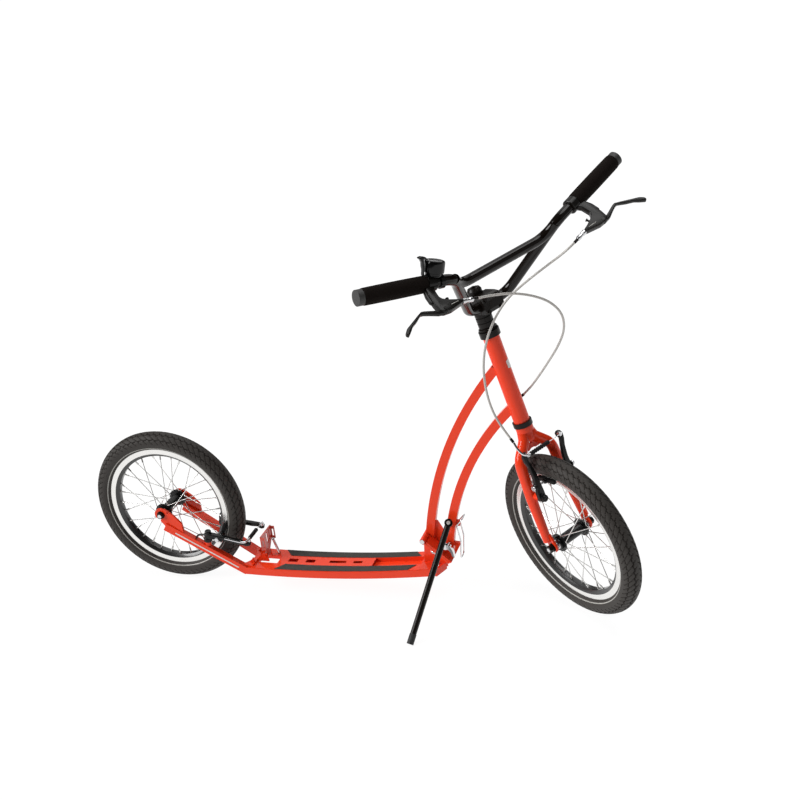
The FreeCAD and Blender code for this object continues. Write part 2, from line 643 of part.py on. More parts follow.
def make_hub(flange, spokes):
    half = [(0, 13), (flange - 3, 13), (flange - 1.5, 21.5), (flange + 1.5, 21.5),
            (flange + 1.5, 15), (HUB_END, 15), (HUB_END, BEARING_RADIUS),
            (HUB_END - 9, BEARING_RADIUS), (HUB_END - 9, 8), (0, 8)]
    full = half[:-1] + [(-y, r) for y, r in reversed(half)][:-1]
    hub = revolve(full)
    holes = []
    for index in range(SPOKE_COUNT // 2):
        angle = math.radians((index + 0.25) * 720 / SPOKE_COUNT)
        for side in (1, -1):
            where = V(18.2 * math.cos(angle), side * (flange - 4), 18.2 * math.sin(angle))
            holes.append(Part.makeCylinder(1.3, 8, where, V(0, side, 0)))
    return hub.cut(holes).cut(spokes)


def make_bearings():
    races = [ring(BEARING_RADIUS, AXLE_RADIUS + PIN_PLAY, V(0, s * (HUB_END - 9), 0),
                  V(0, s * HUB_END, 0)) for s in (1, -1)]
    return compound(races)


def make_axle(dropout_in, end):
    rod = cylinder(AXLE_RADIUS, V(0, -end, 0), V(0, end, 0))
    cones = [cylinder(8.5, V(0, s * (HUB_END + 0.4), 0), V(0, s * dropout_in, 0)) for s in (1, -1)]
    return fuse(rod, *cones)


def hexagon(across, start, end):
    """Nut blank along Y."""
    radius = across / math.sqrt(3)
    points = [V(radius * math.cos(math.radians(60 * i)), start, radius * math.sin(math.radians(60 * i)))
              for i in range(6)]
    face = Part.Face(Part.makePolygon(points + points[:1]))
    return face.extrude(V(0, end - start, 0))


def make_axle_nuts(dropout_out, end):
    washer = cylinder(10, V(0, dropout_out, 0), V(0, dropout_out + 1.5, 0))
    nut = hexagon(15, dropout_out + 1.5, end - 1.5)
    left = fuse(washer, nut).cut(cylinder(AXLE_RADIUS, V(0, 0, 0), V(0, 80, 0)))
    return compound([left, mirrored(left)])


def make_wheel(flange):
    spokes = make_spokes(flange)
    tube_ring = Part.makeTorus(TYRE_RADIUS - TYRE_SECTION, TYRE_SECTION - 4.0, V(0, 0, 0),
                               V(0, 1, 0))
    hollow = Part.makeTorus(TYRE_RADIUS - TYRE_SECTION, TYRE_SECTION - 5.2, V(0, 0, 0), V(0, 1, 0))
    return {"tyre": make_tyre(), "inner_tube": tube_ring.cut(hollow), "rim": make_rim(spokes),
            "spokes": spokes, "hub": make_hub(flange, spokes), "bearings": make_bearings()}


# Brakes, drawn in a pivot frame: X along the arm, Y outward, Z along the boss
ARM_HALF = 5.0
BOOT_RISE = 10.5
NOODLE_RADIUS = 2.6
WIRE_RADIUS = 0.8


def make_brake_arm(tip_out, pad_in, pad_turn, noodle=None, radii=(), boot=55):
    """Brake arm with its pad. The arm on the cable's side also holds the bent guide tube,
    the rubber boot and the inner wire, which reach across to the other arm."""
    barrel = Part.makeCylinder(9, 11, V(0, 0, -5.5))
    outline = plan_prism([(-4, -7.5), (12, -9), (40, -7), (BRAKE_TIP - 6, tip_out - 7),
                          (BRAKE_TIP + 6, tip_out - 6), (BRAKE_TIP + 6, tip_out + 5),
                          (40, 7), (12, 9), (-4, 7.5)], -ARM_HALF, ARM_HALF)
    anchor = cylinder(4.5, V(BRAKE_TIP, tip_out, -ARM_HALF), V(BRAKE_TIP, tip_out, 14))
    arm = fuse(barrel, outline, anchor).cut(Part.makeCylinder(4 + PIN_PLAY, 30, V(0, 0, -10)))
    stud = cylinder(3, V(BRAKE_PAD, 5 - pad_in, 0), V(BRAKE_PAD, 13, 0))
    nut = cylinder(6.5, V(BRAKE_PAD, 8.2, 0), V(BRAKE_PAD, 14, 0))
    arm = fuse(arm, nut).cut(stud)
    pad = fuse(block(-3.7, 3.7, 0, 11, -27, 27),
               Part.makeCylinder(5.5, 4, V(0, 10.5, 0), V(0, 1, 0)))
    pad.rotate(V(0, 0, 0), V(0, 1, 0), pad_turn)
    pad.translate(V(BRAKE_PAD, -pad_in, 0))
    pieces = [arm, fuse(pad, stud)]
    if noodle:
        elbow = V(BRAKE_TIP, tip_out - 5, BOOT_RISE)
        pieces[0] = arm.cut(pipe([elbow - V(0, 6, 0)] + noodle, NOODLE_RADIUS, radii))
        boot_end = elbow - V(0, boot, 0)
        pieces.append(pipe([elbow] + noodle, NOODLE_RADIUS, radii))
        pieces.append(cylinder(4.4, elbow, boot_end))
        pieces.append(cylinder(WIRE_RADIUS, boot_end, boot_end - V(0, 4, 0)))
    return compound(pieces)


FRONT_BOSS = V(42, 46, 124)              # steering coordinates


def front_brake_frame(side):
    """Pivot frame of a front brake arm: X up the arm, Y to the right, Z forward."""
    local = frame_of(V(FRONT_BOSS.x, side * FRONT_BOSS.y, FRONT_BOSS.z),
                     V(0, 0, 1), V(0, -1, 0), V(1, 0, 0))
    return STEERED.multiply(local)


# Fork, in steering coordinates
AXLE_PLATE_IN = 50.0
AXLE_PLATE_OUT = 55.0


def make_fork():
    steerer = ring(STEERER_RADIUS, 12.3, V(0, 0, 236), V(0, 0, STEERER_TOP))
    race = ring(19.5, STEERER_RADIUS, V(0, 0, 259), V(0, 0, HEAD_BOTTOM - 11 - GAP))
    steerer = fuse(steerer, race)
    leg_top = pipe([V(0, 9, 258), V(2, 14, 240), V(7, 47, 205), V(10, 52, 118)], 12, [22, 40])
    lower = Part.makeCone(12, 9.5, 105, V(10, 52, 120), V(10, 5, -102))
    tab_disc = cylinder(13, V(FORK_OFFSET, AXLE_PLATE_IN, 0), V(FORK_OFFSET, AXLE_PLATE_OUT, 0))
    tab = prism([(12, 32), (30, 32), (40, 4), (18, -8), (15, 0)], AXLE_PLATE_IN, AXLE_PLATE_OUT)
    slot = fuse(cylinder(AXLE_RADIUS + 0.1, V(FORK_OFFSET, 49, 0), V(FORK_OFFSET, 56, 0)),
                prism([(FORK_OFFSET - 5.1, 0), (FORK_OFFSET + 5.1, 0), (FORK_OFFSET + 5.1, -20),
                       (FORK_OFFSET - 5.1, -20)], 49, 56))
    boss = fuse(Part.makeCylinder(8, 26, V(10, FRONT_BOSS.y, FRONT_BOSS.z), V(1, 0, 0)),
                Part.makeCylinder(4, 40, V(10, FRONT_BOSS.y, FRONT_BOSS.z), V(1, 0, 0)))
    leg = fuse(leg_top, lower, tab_disc, tab, boss).cut(slot)
    bridge = cross_prism([(-30, 214), (30, 214), (14, 256), (-14, 256)], -2, 3)
    bridge = bridge.cut(Part.makeCylinder(3, 20, V(-10, 0, 231), V(1, 0, 0)))
    bridge = bridge.cut(Part.makeCylinder(14, 20, V(-10, 0, 203), V(1, 0, 0)))
    blades = fuse(leg, mirrored(leg), bridge)
    blades = blades.cut(Part.makeCylinder(STEERER_RADIUS, 400, V(0, 0, 236)))
    blades = blades.cut(Part.makeCylinder(30, 40, V(0, 0, 259)))
    blades = max(blades.Solids, key=lambda solid: solid.Volume)
    return placed(steerer, STEERED), placed(blades, STEERED)


def make_headset_spacers():
    base = HEAD_TOP + 14 + GAP
    heights = (10, 12, 12, 11)
    rings, low = [], base
    for index, height in enumerate(heights):
        radius = 17.0 if index % 2 else 16.2
        rings.append(ring(radius, STEERER_RADIUS, V(0, 0, low), V(0, 0, low + height)))
        low += height
    return placed(compound(rings), STEERED), low


STEM_HALF = 25.0
STEM_LOW, STEM_HIGH = 545.0, 581.0


def make_stem():
    ring_part = cylinder(19, V(0, 0, STEM_LOW), V(0, 0, STEM_HIGH))
    body = fuse(ring_part, block(4, BAR_CLAMP.x - 0.6, -STEM_HALF, STEM_HALF, STEM_LOW, STEM_HIGH))
    cap = prism([(BAR_CLAMP.x + 0.6, STEM_LOW), (BAR_CLAMP.x + 15, STEM_LOW),
                 (BAR_CLAMP.x + 19, STEM_LOW + 8), (BAR_CLAMP.x + 19, STEM_HIGH - 10),
                 (BAR_CLAMP.x + 13, STEM_HIGH - 2), (BAR_CLAMP.x + 0.6, STEM_HIGH)],
                -STEM_HALF, STEM_HALF)
    bar_bore = cylinder(BAR_RADIUS, V(BAR_CLAMP.x, -60, BAR_CLAMP.z), V(BAR_CLAMP.x, 60, BAR_CLAMP.z))
    body = body.cut(cylinder(STEERER_RADIUS, V(0, 0, 500), V(0, 0, 620))).cut(bar_bore)
    cap = cap.cut(bar_bore)
    bolts = []
    for y in (-16, 16):
        for z in (STEM_LOW + 3.2, STEM_HIGH - 5.0):
            shank = cylinder(2.5, V(BAR_CLAMP.x - 16, y, z), V(BAR_CLAMP.x + 16, y, z))
            head = cylinder(3.8, V(BAR_CLAMP.x + 13, y, z), V(BAR_CLAMP.x + 20, y, z))
            bolts.append(fuse(shank, head))
    for z in (STEM_LOW + 10, STEM_HIGH - 10):
        bolts.append(fuse(cylinder(2.5, V(-16.9, -21, z), V(-16.9, 8, z)),
                          cylinder(4.2, V(-16.9, -26, z), V(-16.9, -20, z))))
    clamp_ears = block(-21, -14.0, -14, 14, STEM_LOW, STEM_HIGH)
    clamp_ears = clamp_ears.cut(cylinder(STEERER_RADIUS, V(0, 0, 500), V(0, 0, 620)))
    body = fuse(body, clamp_ears)
    bolts = compound(bolts)
    stem = compound([body.cut(bolts), cap.cut(bolts)])
    return placed(stem, STEERED), placed(bolts, STEERED)


def make_steerer_cap():
    sleeve = ring(16, STEERER_RADIUS, V(0, 0, STEM_HIGH), V(0, 0, STEERER_TOP))
    cap = Part.makeCone(16, 13, 5, V(0, 0, STEERER_TOP))
    bolt = cylinder(4, V(0, 0, STEERER_TOP + 5), V(0, 0, STEERER_TOP + 8))
    return placed(fuse(sleeve, cap, bolt), STEERED)


def make_handlebar():
    def path(extra):
        right = [V(p.x, -p.y, p.z) for p in (BAR_END, BAR_HIGH_BEND, BAR_LOW_BEND)]
        left = [BAR_LOW_BEND, BAR_HIGH_BEND, BAR_END]
        points = right + left
        first, last = points[0] - points[1], points[-1] - points[-2]
        points[0] = points[0] + first.normalize() * extra
        points[-1] = points[-1] + last.normalize() * extra
        return points
    radii = [45, 38, 38, 45]
    outer = pipe(path(0), BAR_RADIUS, radii, "handlebar")
    rise = BAR_HIGH_BEND - BAR_LOW_BEND
    low, high = BAR_LOW_BEND + rise * CROSSBAR_SHARE, BAR_LOW_BEND + rise * 0.98
    across = [high, low, V(low.x, -low.y, low.z), V(high.x, -high.y, high.z)]
    cross = pipe(across, CROSSBAR_RADIUS, [52, 52])
    hollow = pipe(across, CROSSBAR_RADIUS - 2, [52, 52])
    bore = pipe(path(4), BAR_RADIUS - 2, radii)
    return placed(fuse(outer, cross).cut([bore, hollow]), STEERED)


GRIP_START = 62.0
GRIP_END = 199.0


def bar_length():
    return (BAR_END - BAR_HIGH_BEND).Length


def make_grips():
    grips, plugs = [], []
    for side in (1, -1):
        bend, along, reach, normal = bar_axes(side)
        start, end = bend + along * GRIP_START, bend + along * GRIP_END
        grips.append(ring(17, BAR_RADIUS, start, end))
        bar_end = bend + along * bar_length()
        plug = fuse(cylinder(BAR_RADIUS - 2.05, bar_end - along * 18, bar_end + along * 1),
                    cylinder(15.5, bar_end, bar_end + along * 5))
        sleeve = ring(15.5, BAR_RADIUS, end, bar_end)
        plugs.append(fuse(plug, sleeve))
    return placed(compound(grips), STEERED), placed(compound(plugs), STEERED)


LEVER_AT = 48.0                          # clamp, along the bar from its upper bend
LEVER_PIN = (12.0, 70.0)
LEVER_BARREL = 58.0


def lever_frame(side):
    """Lever frame: X outward along the bar, Y ahead and down, Z their normal."""
    bend, along, reach, normal = bar_axes(side)
    return STEERED.multiply(frame_of(bend + along * LEVER_AT, along, reach, normal))


def make_lever_body():
    clamp = ring(16, BAR_RADIUS, V(-7, 0, 0), V(7, 0, 0))
    body = plan_prism([(-7, 13), (10, 13), (14, 19), (24, 20), (30, 28), (37, 54), (26, 74),
                       (12, 82), (-11, 76), (-28, 69), (-46, 63.5), (-46, 53), (-28, 50.5),
                       (1, 43), (3, 32), (-3, 20)], -8, 8)
    slit = plan_prism([(-14, 58), (8, 56), (48, 50), (48, 95), (-14, 95)], -4.2, 4.2)
    hollow = cylinder(BAR_RADIUS, V(-50, 0, 0), V(50, 0, 0))
    pin = cylinder(3, V(LEVER_PIN[0], LEVER_PIN[1], -9), V(LEVER_PIN[0], LEVER_PIN[1], 9))
    barrel = cylinder(5, V(-58, LEVER_BARREL, 0), V(-46, LEVER_BARREL, 0))
    bolt = cylinder(3, V(2, 24, 7), V(2, 24, 11))
    return fuse(clamp, body.cut(slit).cut(hollow), barrel, pin, bolt)


BLADE_RIDGE = ((46, 63), (57, 61.5), (79, 74), (98.5, 86.5), (110, 97.5), (114, 108))
BLADE_BACK = ((108, 109.5), (101, 102), (93, 92), (80, 83), (62, 72), (46, 74.5))


def make_lever_blade():
    outline = plan_prism([(-4, 64), (12, 62), (28, 67)] + list(BLADE_RIDGE) + list(BLADE_BACK)
                         + [(28, 79), (12, 78), (-4, 75)], -3.8, 3.8)
    wide = plan_prism(list(BLADE_RIDGE) + list(BLADE_BACK), -6.5, 6.5)
    bore = cylinder(3 + PIN_PLAY, V(LEVER_PIN[0], LEVER_PIN[1], -12),
                    V(LEVER_PIN[0], LEVER_PIN[1], 12))
    return fuse(outline, wide).cut(bore)


BELL_AT = 42.0


def bell_frame():
    """Bell frame on the right of the bar: X outward, Y ahead, Z out of the bar."""
    bend, along, reach, normal = bar_axes(-1)
    up = (V(0, 0, 1) - along * along.z).normalize()
    return STEERED.multiply(frame_of(bend + along * BELL_AT, along, up.cross(along), up))


def make_bell():
    """Strap with its base and spindle, the cup, and the thumb lever that turns round it."""
    strap = ring(14.5, BAR_RADIUS, V(-16, 0, 0), V(-6.5, 0, 0))
    post = block(-15, -7.5, -5, 5, 13, 18.8)
    base = cylinder(17, V(0, 0, 17), V(0, 0, 18.8))
    spindle = cylinder(6, V(0, 0, 18.8), V(0, 0, 34))
    tip = cylinder(2.5, V(0, 0, 34), V(0, 0, 42))
    bracket = fuse(strap, post.cut(cylinder(BAR_RADIUS, V(-30, 0, 0), V(30, 0, 0))), base,
                   spindle, tip)
    outer = fuse(Part.makeCylinder(20, 15, V(0, 0, 21.4)), Part.makeCone(20, 14, 4.6, V(0, 0, 36.4)))
    inner = fuse(Part.makeCylinder(18.5, 15, V(0, 0, 21.3)),
                 Part.makeCone(18.5, 14, 3.4, V(0, 0, 36.3)))
    cup = outer.cut(inner).cut(Part.makeCylinder(2.5, 60, V(0, 0, 0)))
    eye = ring(9, 6 + PIN_PLAY, V(0, 0, 19.1), V(0, 0, 21.1))
    arm = block(7, 25, -4, 4, 19.1, 21.1)
    riser = block(22.6, 25, -4, 4, 19.1, 46)
    pad = block(12, 30, -6, 6, 43.8, 46)
    lever = fuse(eye, arm, riser, pad)
    place = bell_frame()
    return placed(bracket, place), placed(cup, place), placed(lever, place)


FRONT_CABLE = [V(184, 104, 621), V(140, 82, 601), V(104, 50, 582), V(80, 16, 564),
               V(62, -16, 536), V(46, -45, 497), V(32, -63, 450), V(22, -71, 400),
               V(17, -72, 350), V(18, -66, 308), V(33.3, -59.9, 266.2)]
REAR_CABLE = [V(206, -100, 627), V(208, -60, 613), V(214, -20, 590), V(217, 14, 561),
              V(210, 38, 524), V(184, 50, 483), V(144, 52, 444), V(98, 47, 406),
              V(52, 40, 369), V(16, 34, 342), V(-9, 27, 327)]


def steering_point(point):
    return STEERED.multVec(point)


def make_cables():
    cables = []
    for side, route, name in ((1, FRONT_CABLE, "front_brake_cable"),
                              (-1, REAR_CABLE, "rear_brake_cable")):
        lever = lever_frame(side)
        start = [lever.multVec(V(-along, LEVER_BARREL, 0)) for along in (58.4, 76)]
        cables.append(pipe(start + [steering_point(point) for point in route], CABLE_RADIUS,
                           name=name))
    return cables


def bounds_of(shapes):
    box = FreeCAD.BoundBox()
    for shape in shapes:
        box.add(shape.optimalBoundingBox(False))
    return box


def build():
    """Every node in the drawing position."""
    nodes = {}
    nodes["side_rails"], nodes["rear_dropouts"], rails = make_rear_frame()
    nodes["deck_plate"] = make_deck_plate()
    nodes["deck_cover"] = make_deck_cover()
    nodes["grip_tapes"] = make_grip_tapes()
    nodes["rear_bridge"] = make_rear_bridge(rails)
    nodes["catch_plate"] = make_catch_plate()
    nodes["catch_spring"] = make_catch_spring()
    fold_bolt, clamp_bolt = make_hinge_bolts()
    nodes["hinge_riser"] = make_hinge_riser().cut(clamp_bolt)
    nodes["lower_hinge_plate"] = make_lower_hinge_plate().cut(fold_bolt)
    nodes["hinge_bolts"] = compound([fold_bolt, clamp_bolt])
    rear_tube, front_tube = make_curved_tubes()
    tube_spaces = [curved_tube(REAR_TUBE_CENTRE, REAR_TUBE_RADIUS, 105, 590, 0),
                   curved_tube(FRONT_TUBE_CENTRE, FRONT_TUBE_RADIUS, 105, 530, 0)]
    nodes["upper_hinge_plate"] = make_upper_hinge_plate(
        [space.cut(hinge_part(block(-100, 160, -60, 60, -120, GAP + PLATE))) for space in tube_spaces])
    latch_bolt, front_tube = make_latch_bolt(front_tube)
    nodes["upper_hinge_plate"] = nodes["upper_hinge_plate"].cut(latch_bolt)
    nodes["latch_bolt"] = latch_bolt
    nodes["rear_curved_tube"], nodes["front_curved_tube"] = rear_tube, front_tube
    nodes["head_tube"] = make_head_tube()
    nodes["headset_cups"] = make_headset_cups()
    nodes["latch_lever"] = make_latch_lever()
    nodes["latch_loop"] = make_latch_loop()
    nodes["kickstand_clamp"] = make_kickstand_clamp(tube_spaces[1]).cut(front_tube)
    nodes["kickstand_leg"] = make_kickstand_leg()
    nodes["kickstand_foot"] = make_kickstand_foot()

    rear_place = FreeCAD.Placement(REAR_AXLE, FreeCAD.Rotation())
    front_place = STEERED.multiply(FreeCAD.Placement(V(FORK_OFFSET, 0, 0), FreeCAD.Rotation()))
    for name, flange, place, plate_in, plate_out, axle_end in (
            ("rear", 36.0, rear_place, 47.5, 52.5, 61.0),
            ("front", 34.0, front_place, AXLE_PLATE_IN, AXLE_PLATE_OUT, 68.0)):
        for part, shape in make_wheel(flange).items():
            nodes[f"{name}_{part}"] = placed(shape, place)
        nodes[f"{name}_axle"] = placed(make_axle(plate_in, axle_end), place)
        nodes[f"{name}_axle_nuts"] = placed(make_axle_nuts(plate_out, axle_end), place)

    nodes["fork_steerer"], nodes["fork_blades"] = make_fork()
    nodes["headset_spacers"], spacer_top = make_headset_spacers()
    nodes["stem"], nodes["stem_bolts"] = make_stem()
    nodes["steerer_cap"] = make_steerer_cap()
    nodes["handlebar"] = make_handlebar()
    nodes["grips"], nodes["bar_end_plugs"] = make_grips()
    bodies = [placed(make_lever_body(), lever_frame(side)) for side in (1, -1)]
    nodes["brake_lever_bodies"] = compound(bodies)
    for side, name in ((1, "left"), (-1, "right")):
        nodes[f"brake_lever_{name}"] = placed(make_lever_blade(), lever_frame(side))
    nodes["bell_bracket"], nodes["bell_cup"], nodes["bell_lever"] = make_bell()
    nodes["front_brake_cable"], nodes["rear_brake_cable"] = make_cables()

    front_noodle = [V(BRAKE_TIP, 20, BOOT_RISE), V(BRAKE_TIP + 34, 14, -8)]
    rear_noodle = [V(BRAKE_TIP, 12, BOOT_RISE), V(88, 16, BOOT_RISE), V(52, 15, 11)]
    front_arm = make_brake_arm(1, 31.0, -5.6)
    front_arm_cable = make_brake_arm(1, 31.0, -5.6, front_noodle, [14])
    rear_arm = make_brake_arm(-3, 27.0, 14.7)
    rear_arm_cable = make_brake_arm(-3, 27.0, 14.7, rear_noodle, [11, 14], 46)
    nodes["front_brake_arm_left"] = placed(mirrored(front_arm), front_brake_frame(1))
    nodes["front_brake_arm_right"] = placed(front_arm_cable, front_brake_frame(-1))
    nodes["rear_brake_arm_left"] = placed(rear_arm, rear_brake_frame(1))
    nodes["rear_brake_arm_right"] = placed(mirrored(rear_arm_cable), rear_brake_frame(-1))
    tail = [V(51.7, 15, 11), V(30, 15, 11.5), V(2, 14.5, 10.5), V(-20, 11, 4), V(-30, 3.7, -13.3)]
    tail = [rear_brake_frame(-1).multVec(V(p.x, -p.y, p.z)) for p in tail]
    nodes["rear_cable_tail"] = pipe(tail, CABLE_RADIUS, name="rear_cable_tail")
    return nodes


def main():
    os.makedirs("parts", exist_ok=True)
    nodes = build()
    box = bounds_of(nodes.values())
    shift = V(-box.Center.x, -box.Center.y, -box.ZMin)
    print("shift", tuple(round(value, 3) for value in shift), "size",
          tuple(round(value, 1) for value in (box.XLength, box.YLength, box.ZLength)))
    for name, shape in nodes.items():
        moved = shape.copy()
        moved.translate(shift)
        moved.exportStep(f"parts/{name}.step")
    return shift


SHIFT = main()
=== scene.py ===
import json
import math
import bmesh
import bpy
from mathutils import Matrix, Vector


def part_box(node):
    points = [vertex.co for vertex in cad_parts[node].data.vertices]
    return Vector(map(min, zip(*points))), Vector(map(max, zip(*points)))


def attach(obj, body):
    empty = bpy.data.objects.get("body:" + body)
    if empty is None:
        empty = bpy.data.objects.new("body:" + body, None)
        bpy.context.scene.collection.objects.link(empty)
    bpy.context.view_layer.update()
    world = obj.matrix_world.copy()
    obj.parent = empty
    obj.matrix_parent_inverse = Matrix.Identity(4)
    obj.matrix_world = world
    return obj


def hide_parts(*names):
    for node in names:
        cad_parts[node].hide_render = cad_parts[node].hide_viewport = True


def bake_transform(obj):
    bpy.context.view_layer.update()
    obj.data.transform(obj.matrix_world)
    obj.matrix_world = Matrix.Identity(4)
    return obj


# A folding kick scooter around its CAD frame. Shapes are written in millimetres, and the
# placement matrices below turn them into metres.

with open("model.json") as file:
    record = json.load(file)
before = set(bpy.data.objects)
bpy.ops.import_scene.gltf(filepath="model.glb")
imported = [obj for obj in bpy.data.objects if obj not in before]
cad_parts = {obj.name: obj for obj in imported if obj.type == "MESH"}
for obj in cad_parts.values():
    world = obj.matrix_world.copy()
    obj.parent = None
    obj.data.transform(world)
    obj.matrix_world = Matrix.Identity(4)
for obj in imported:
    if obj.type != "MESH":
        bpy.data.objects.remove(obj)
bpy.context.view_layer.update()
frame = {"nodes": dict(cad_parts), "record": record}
NODES = frame["nodes"]
SCALE = Matrix.Scale(0.001, 4)

# Drawing frame and steering frame of the CAD, both taking millimetres
TYRE_RADIUS = 199.5
HEAD_ORIGIN = (978.8, 0, 191.7)
HEAD_LEAN = math.radians(-15.05)
BAR_TURN = math.radians(-36.5)
FORK_RAKE = 27.3
rim_low, rim_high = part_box("rear_rim")
REAR_AXLE = (rim_low + rim_high) / 2
DRAWING = Matrix.Translation(REAR_AXLE) @ SCALE @ Matrix.Translation((0, 0, -TYRE_RADIUS))
HEAD = DRAWING @ Matrix.Translation(HEAD_ORIGIN) @ Matrix.Rotation(HEAD_LEAN, 4, "Y")
STEERED = HEAD @ Matrix.Rotation(BAR_TURN, 4, "Z")
REAR_WHEEL = DRAWING @ Matrix.Translation((0, 0, TYRE_RADIUS))
FRONT_WHEEL = STEERED @ Matrix.Translation((FORK_RAKE, 0, 0))

# Places along each grip from the bar's upper bend
BELL_AT = 42
LEVER_AT = 48


def axes(origin, x_axis, y_axis, z_axis):
    """Matrix that carries X, Y and Z onto three perpendicular directions at a point."""
    columns = [Vector(v).to_4d() for v in (x_axis, y_axis, z_axis, origin)]
    for column, last in zip(columns, (0, 0, 0, 1)):
        column.w = last
    return Matrix(columns).transposed()


def bar_axes(side):
    """Upper bend, grip direction, lever direction and normal in the steering frame."""
    bend = Vector((158, side * 135, 678))
    along = (Vector((147, side * 334, 730)) - bend).normalized()
    ahead = Vector((1, 0, -1))
    reach = (ahead - along * ahead.dot(along)).normalized()
    return bend, along, reach, along.cross(reach)


def lever_frame(side):
    bend, along, reach, normal = bar_axes(side)
    return STEERED @ axes(bend + along * LEVER_AT, along, reach, normal)


def bell_frame():
    bend, along = bar_axes(-1)[:2]
    up = (Vector((0, 0, 1)) - along * along.z).normalized()
    return STEERED @ axes(bend + along * BELL_AT, along, up.cross(along), up)


def bell_lean():
    """The dome leans towards the bend and forward on its clamp."""
    return Matrix.Rotation(math.radians(-11), 4, "X") @ Matrix.Rotation(math.radians(-9), 4, "Y")


def front_arm_frame(side):
    """X up the arm, Y outward and Z forward on the boss."""
    return STEERED @ axes((42, side * 46, 124), (0, 0, 1), (0, side, 0), (1, 0, 0))


def rear_arm_frame(side):
    """X along the arm, Y outward and Z up the boss."""
    dip = math.radians(8.28)
    return DRAWING @ axes((112, side * 42, 145), (math.cos(dip), 0, -math.sin(dip)),
                          (0, side, 0), (math.sin(dip), 0, math.cos(dip)))


# Camera
def add_camera():
    azimuth, elevation, roll = (math.radians(v) for v in (20.5527, 24.0235, -6.9404))
    distance = 2.663
    back = Vector((math.sin(azimuth) * math.cos(elevation),
                   -math.cos(azimuth) * math.cos(elevation), math.sin(elevation)))
    right = Vector((math.cos(azimuth), math.sin(azimuth), 0))
    up = back.cross(right)
    turned = Matrix((right * math.cos(roll) + up * math.sin(roll),
                     up * math.cos(roll) - right * math.sin(roll), back)).transposed().to_4x4()
    target = DRAWING @ Vector((634.2, 0, 504.6))
    data = bpy.data.cameras.new("camera")
    data.lens = 54.37
    data.clip_end = 50
    camera = bpy.data.objects.new("camera", data)
    bpy.context.collection.objects.link(camera)
    camera.matrix_world = Matrix.Translation(target + back * distance) @ turned
    bpy.context.scene.camera = camera


# Materials
def finish_of(name, colour, other=None, metallic=0.0, rough=(0.4, 0.5), coat=0.0, scale=40.0,
              bump=0.0, bump_scale=600.0, specular=0.5):
    """Procedural finish: two close colours and a roughness range in soft patches, with a
    fine relief."""
    material = bpy.data.materials.new(name)
    material.use_nodes = True
    nodes, links = material.node_tree.nodes, material.node_tree.links
    shader = nodes["Principled BSDF"]
    shader.inputs["Metallic"].default_value = metallic
    shader.inputs["Coat Weight"].default_value = coat
    shader.inputs["Coat Roughness"].default_value = 0.04
    shader.inputs["Specular IOR Level"].default_value = specular
    place = nodes.new("ShaderNodeTexCoord")
    patches = nodes.new("ShaderNodeTexNoise")
    patches.inputs["Scale"].default_value = scale
    patches.inputs["Detail"].default_value = 4
    links.new(place.outputs["Object"], patches.inputs["Vector"])
    shade = nodes.new("ShaderNodeMix")
    shade.data_type = "RGBA"
    shade.inputs["A"].default_value = (*colour, 1)
    shade.inputs["B"].default_value = (*(other or [c * 0.8 for c in colour]), 1)
    links.new(patches.outputs["Fac"], shade.inputs["Factor"])
    links.new(shade.outputs["Result"], shader.inputs["Base Color"])
    gloss = nodes.new("ShaderNodeMapRange")
    gloss.inputs["To Min"].default_value = rough[0]
    gloss.inputs["To Max"].default_value = rough[1]
    links.new(patches.outputs["Fac"], gloss.inputs["Value"])
    links.new(gloss.outputs["Result"], shader.inputs["Roughness"])
    if bump:
        grain = nodes.new("ShaderNodeTexNoise")
        grain.inputs["Scale"].default_value = bump_scale
        grain.inputs["Detail"].default_value = 2
        links.new(place.outputs["Object"], grain.inputs["Vector"])
        relief = nodes.new("ShaderNodeBump")
        relief.inputs["Strength"].default_value = bump
        relief.inputs["Distance"].default_value = 0.001
        links.new(grain.outputs["Fac"], relief.inputs["Height"])
        links.new(relief.outputs["Normal"], shader.inputs["Normal"])
    return material


RED = finish_of("frame_red", (0.83, 0.05, 0.012), (0.79, 0.042, 0.01), rough=(0.24, 0.32),
                coat=0.3, bump=0.02, bump_scale=300, specular=0.12)
BLACK_GLOSS = finish_of("black_gloss", (0.006, 0.004, 0.003), rough=(0.1, 0.16),
                        specular=0.28)
BLACK_SATIN = finish_of("black_satin", (0.008, 0.006, 0.005), rough=(0.24, 0.34), bump=0.05,
                        specular=0.2)
LEVER = finish_of("lever_black", (0.007, 0.006, 0.005), rough=(0.2, 0.3), specular=0.22)
FOAM = finish_of("foam", (0.005, 0.003, 0.002), (0.009, 0.006, 0.005), rough=(0.9, 1.0),
                 bump=0.5, bump_scale=1500, specular=0.12)
PLUG = finish_of("plug_grey", (0.03, 0.029, 0.028), rough=(0.5, 0.6), bump=0.05)
RUBBER = finish_of("tyre_black", (0.028, 0.024, 0.021), (0.042, 0.037, 0.033),
                   rough=(0.5, 0.68), bump=0.2, bump_scale=1800, specular=0.3)
# The grooves get a darker rubber than the tread: painted shade in the cut tread, which is the same
# rubber under any lamp.
SHADED_GROOVE = finish_of("tyre_groove_painted_shade", (0.02, 0.0175, 0.0155), rough=(0.9, 1.0), specular=0.1)
REFLEX = finish_of("reflective_line", (0.42, 0.41, 0.38), rough=(0.3, 0.45))
TUBE = finish_of("tube_rubber", (0.02, 0.02, 0.02), rough=(0.6, 0.7))
RIM = finish_of("rim_silver", (0.86, 0.85, 0.83), (0.78, 0.77, 0.75), metallic=1.0,
                rough=(0.18, 0.3), bump=0.02)
RIM_BED = finish_of("rim_black", (0.015, 0.015, 0.015), rough=(0.25, 0.35), coat=0.4)
SPOKE = finish_of("spoke_steel", (0.8, 0.79, 0.77), metallic=1.0, rough=(0.2, 0.3))
HUB = finish_of("hub_black", (0.006, 0.006, 0.006), rough=(0.2, 0.3), specular=0.3)
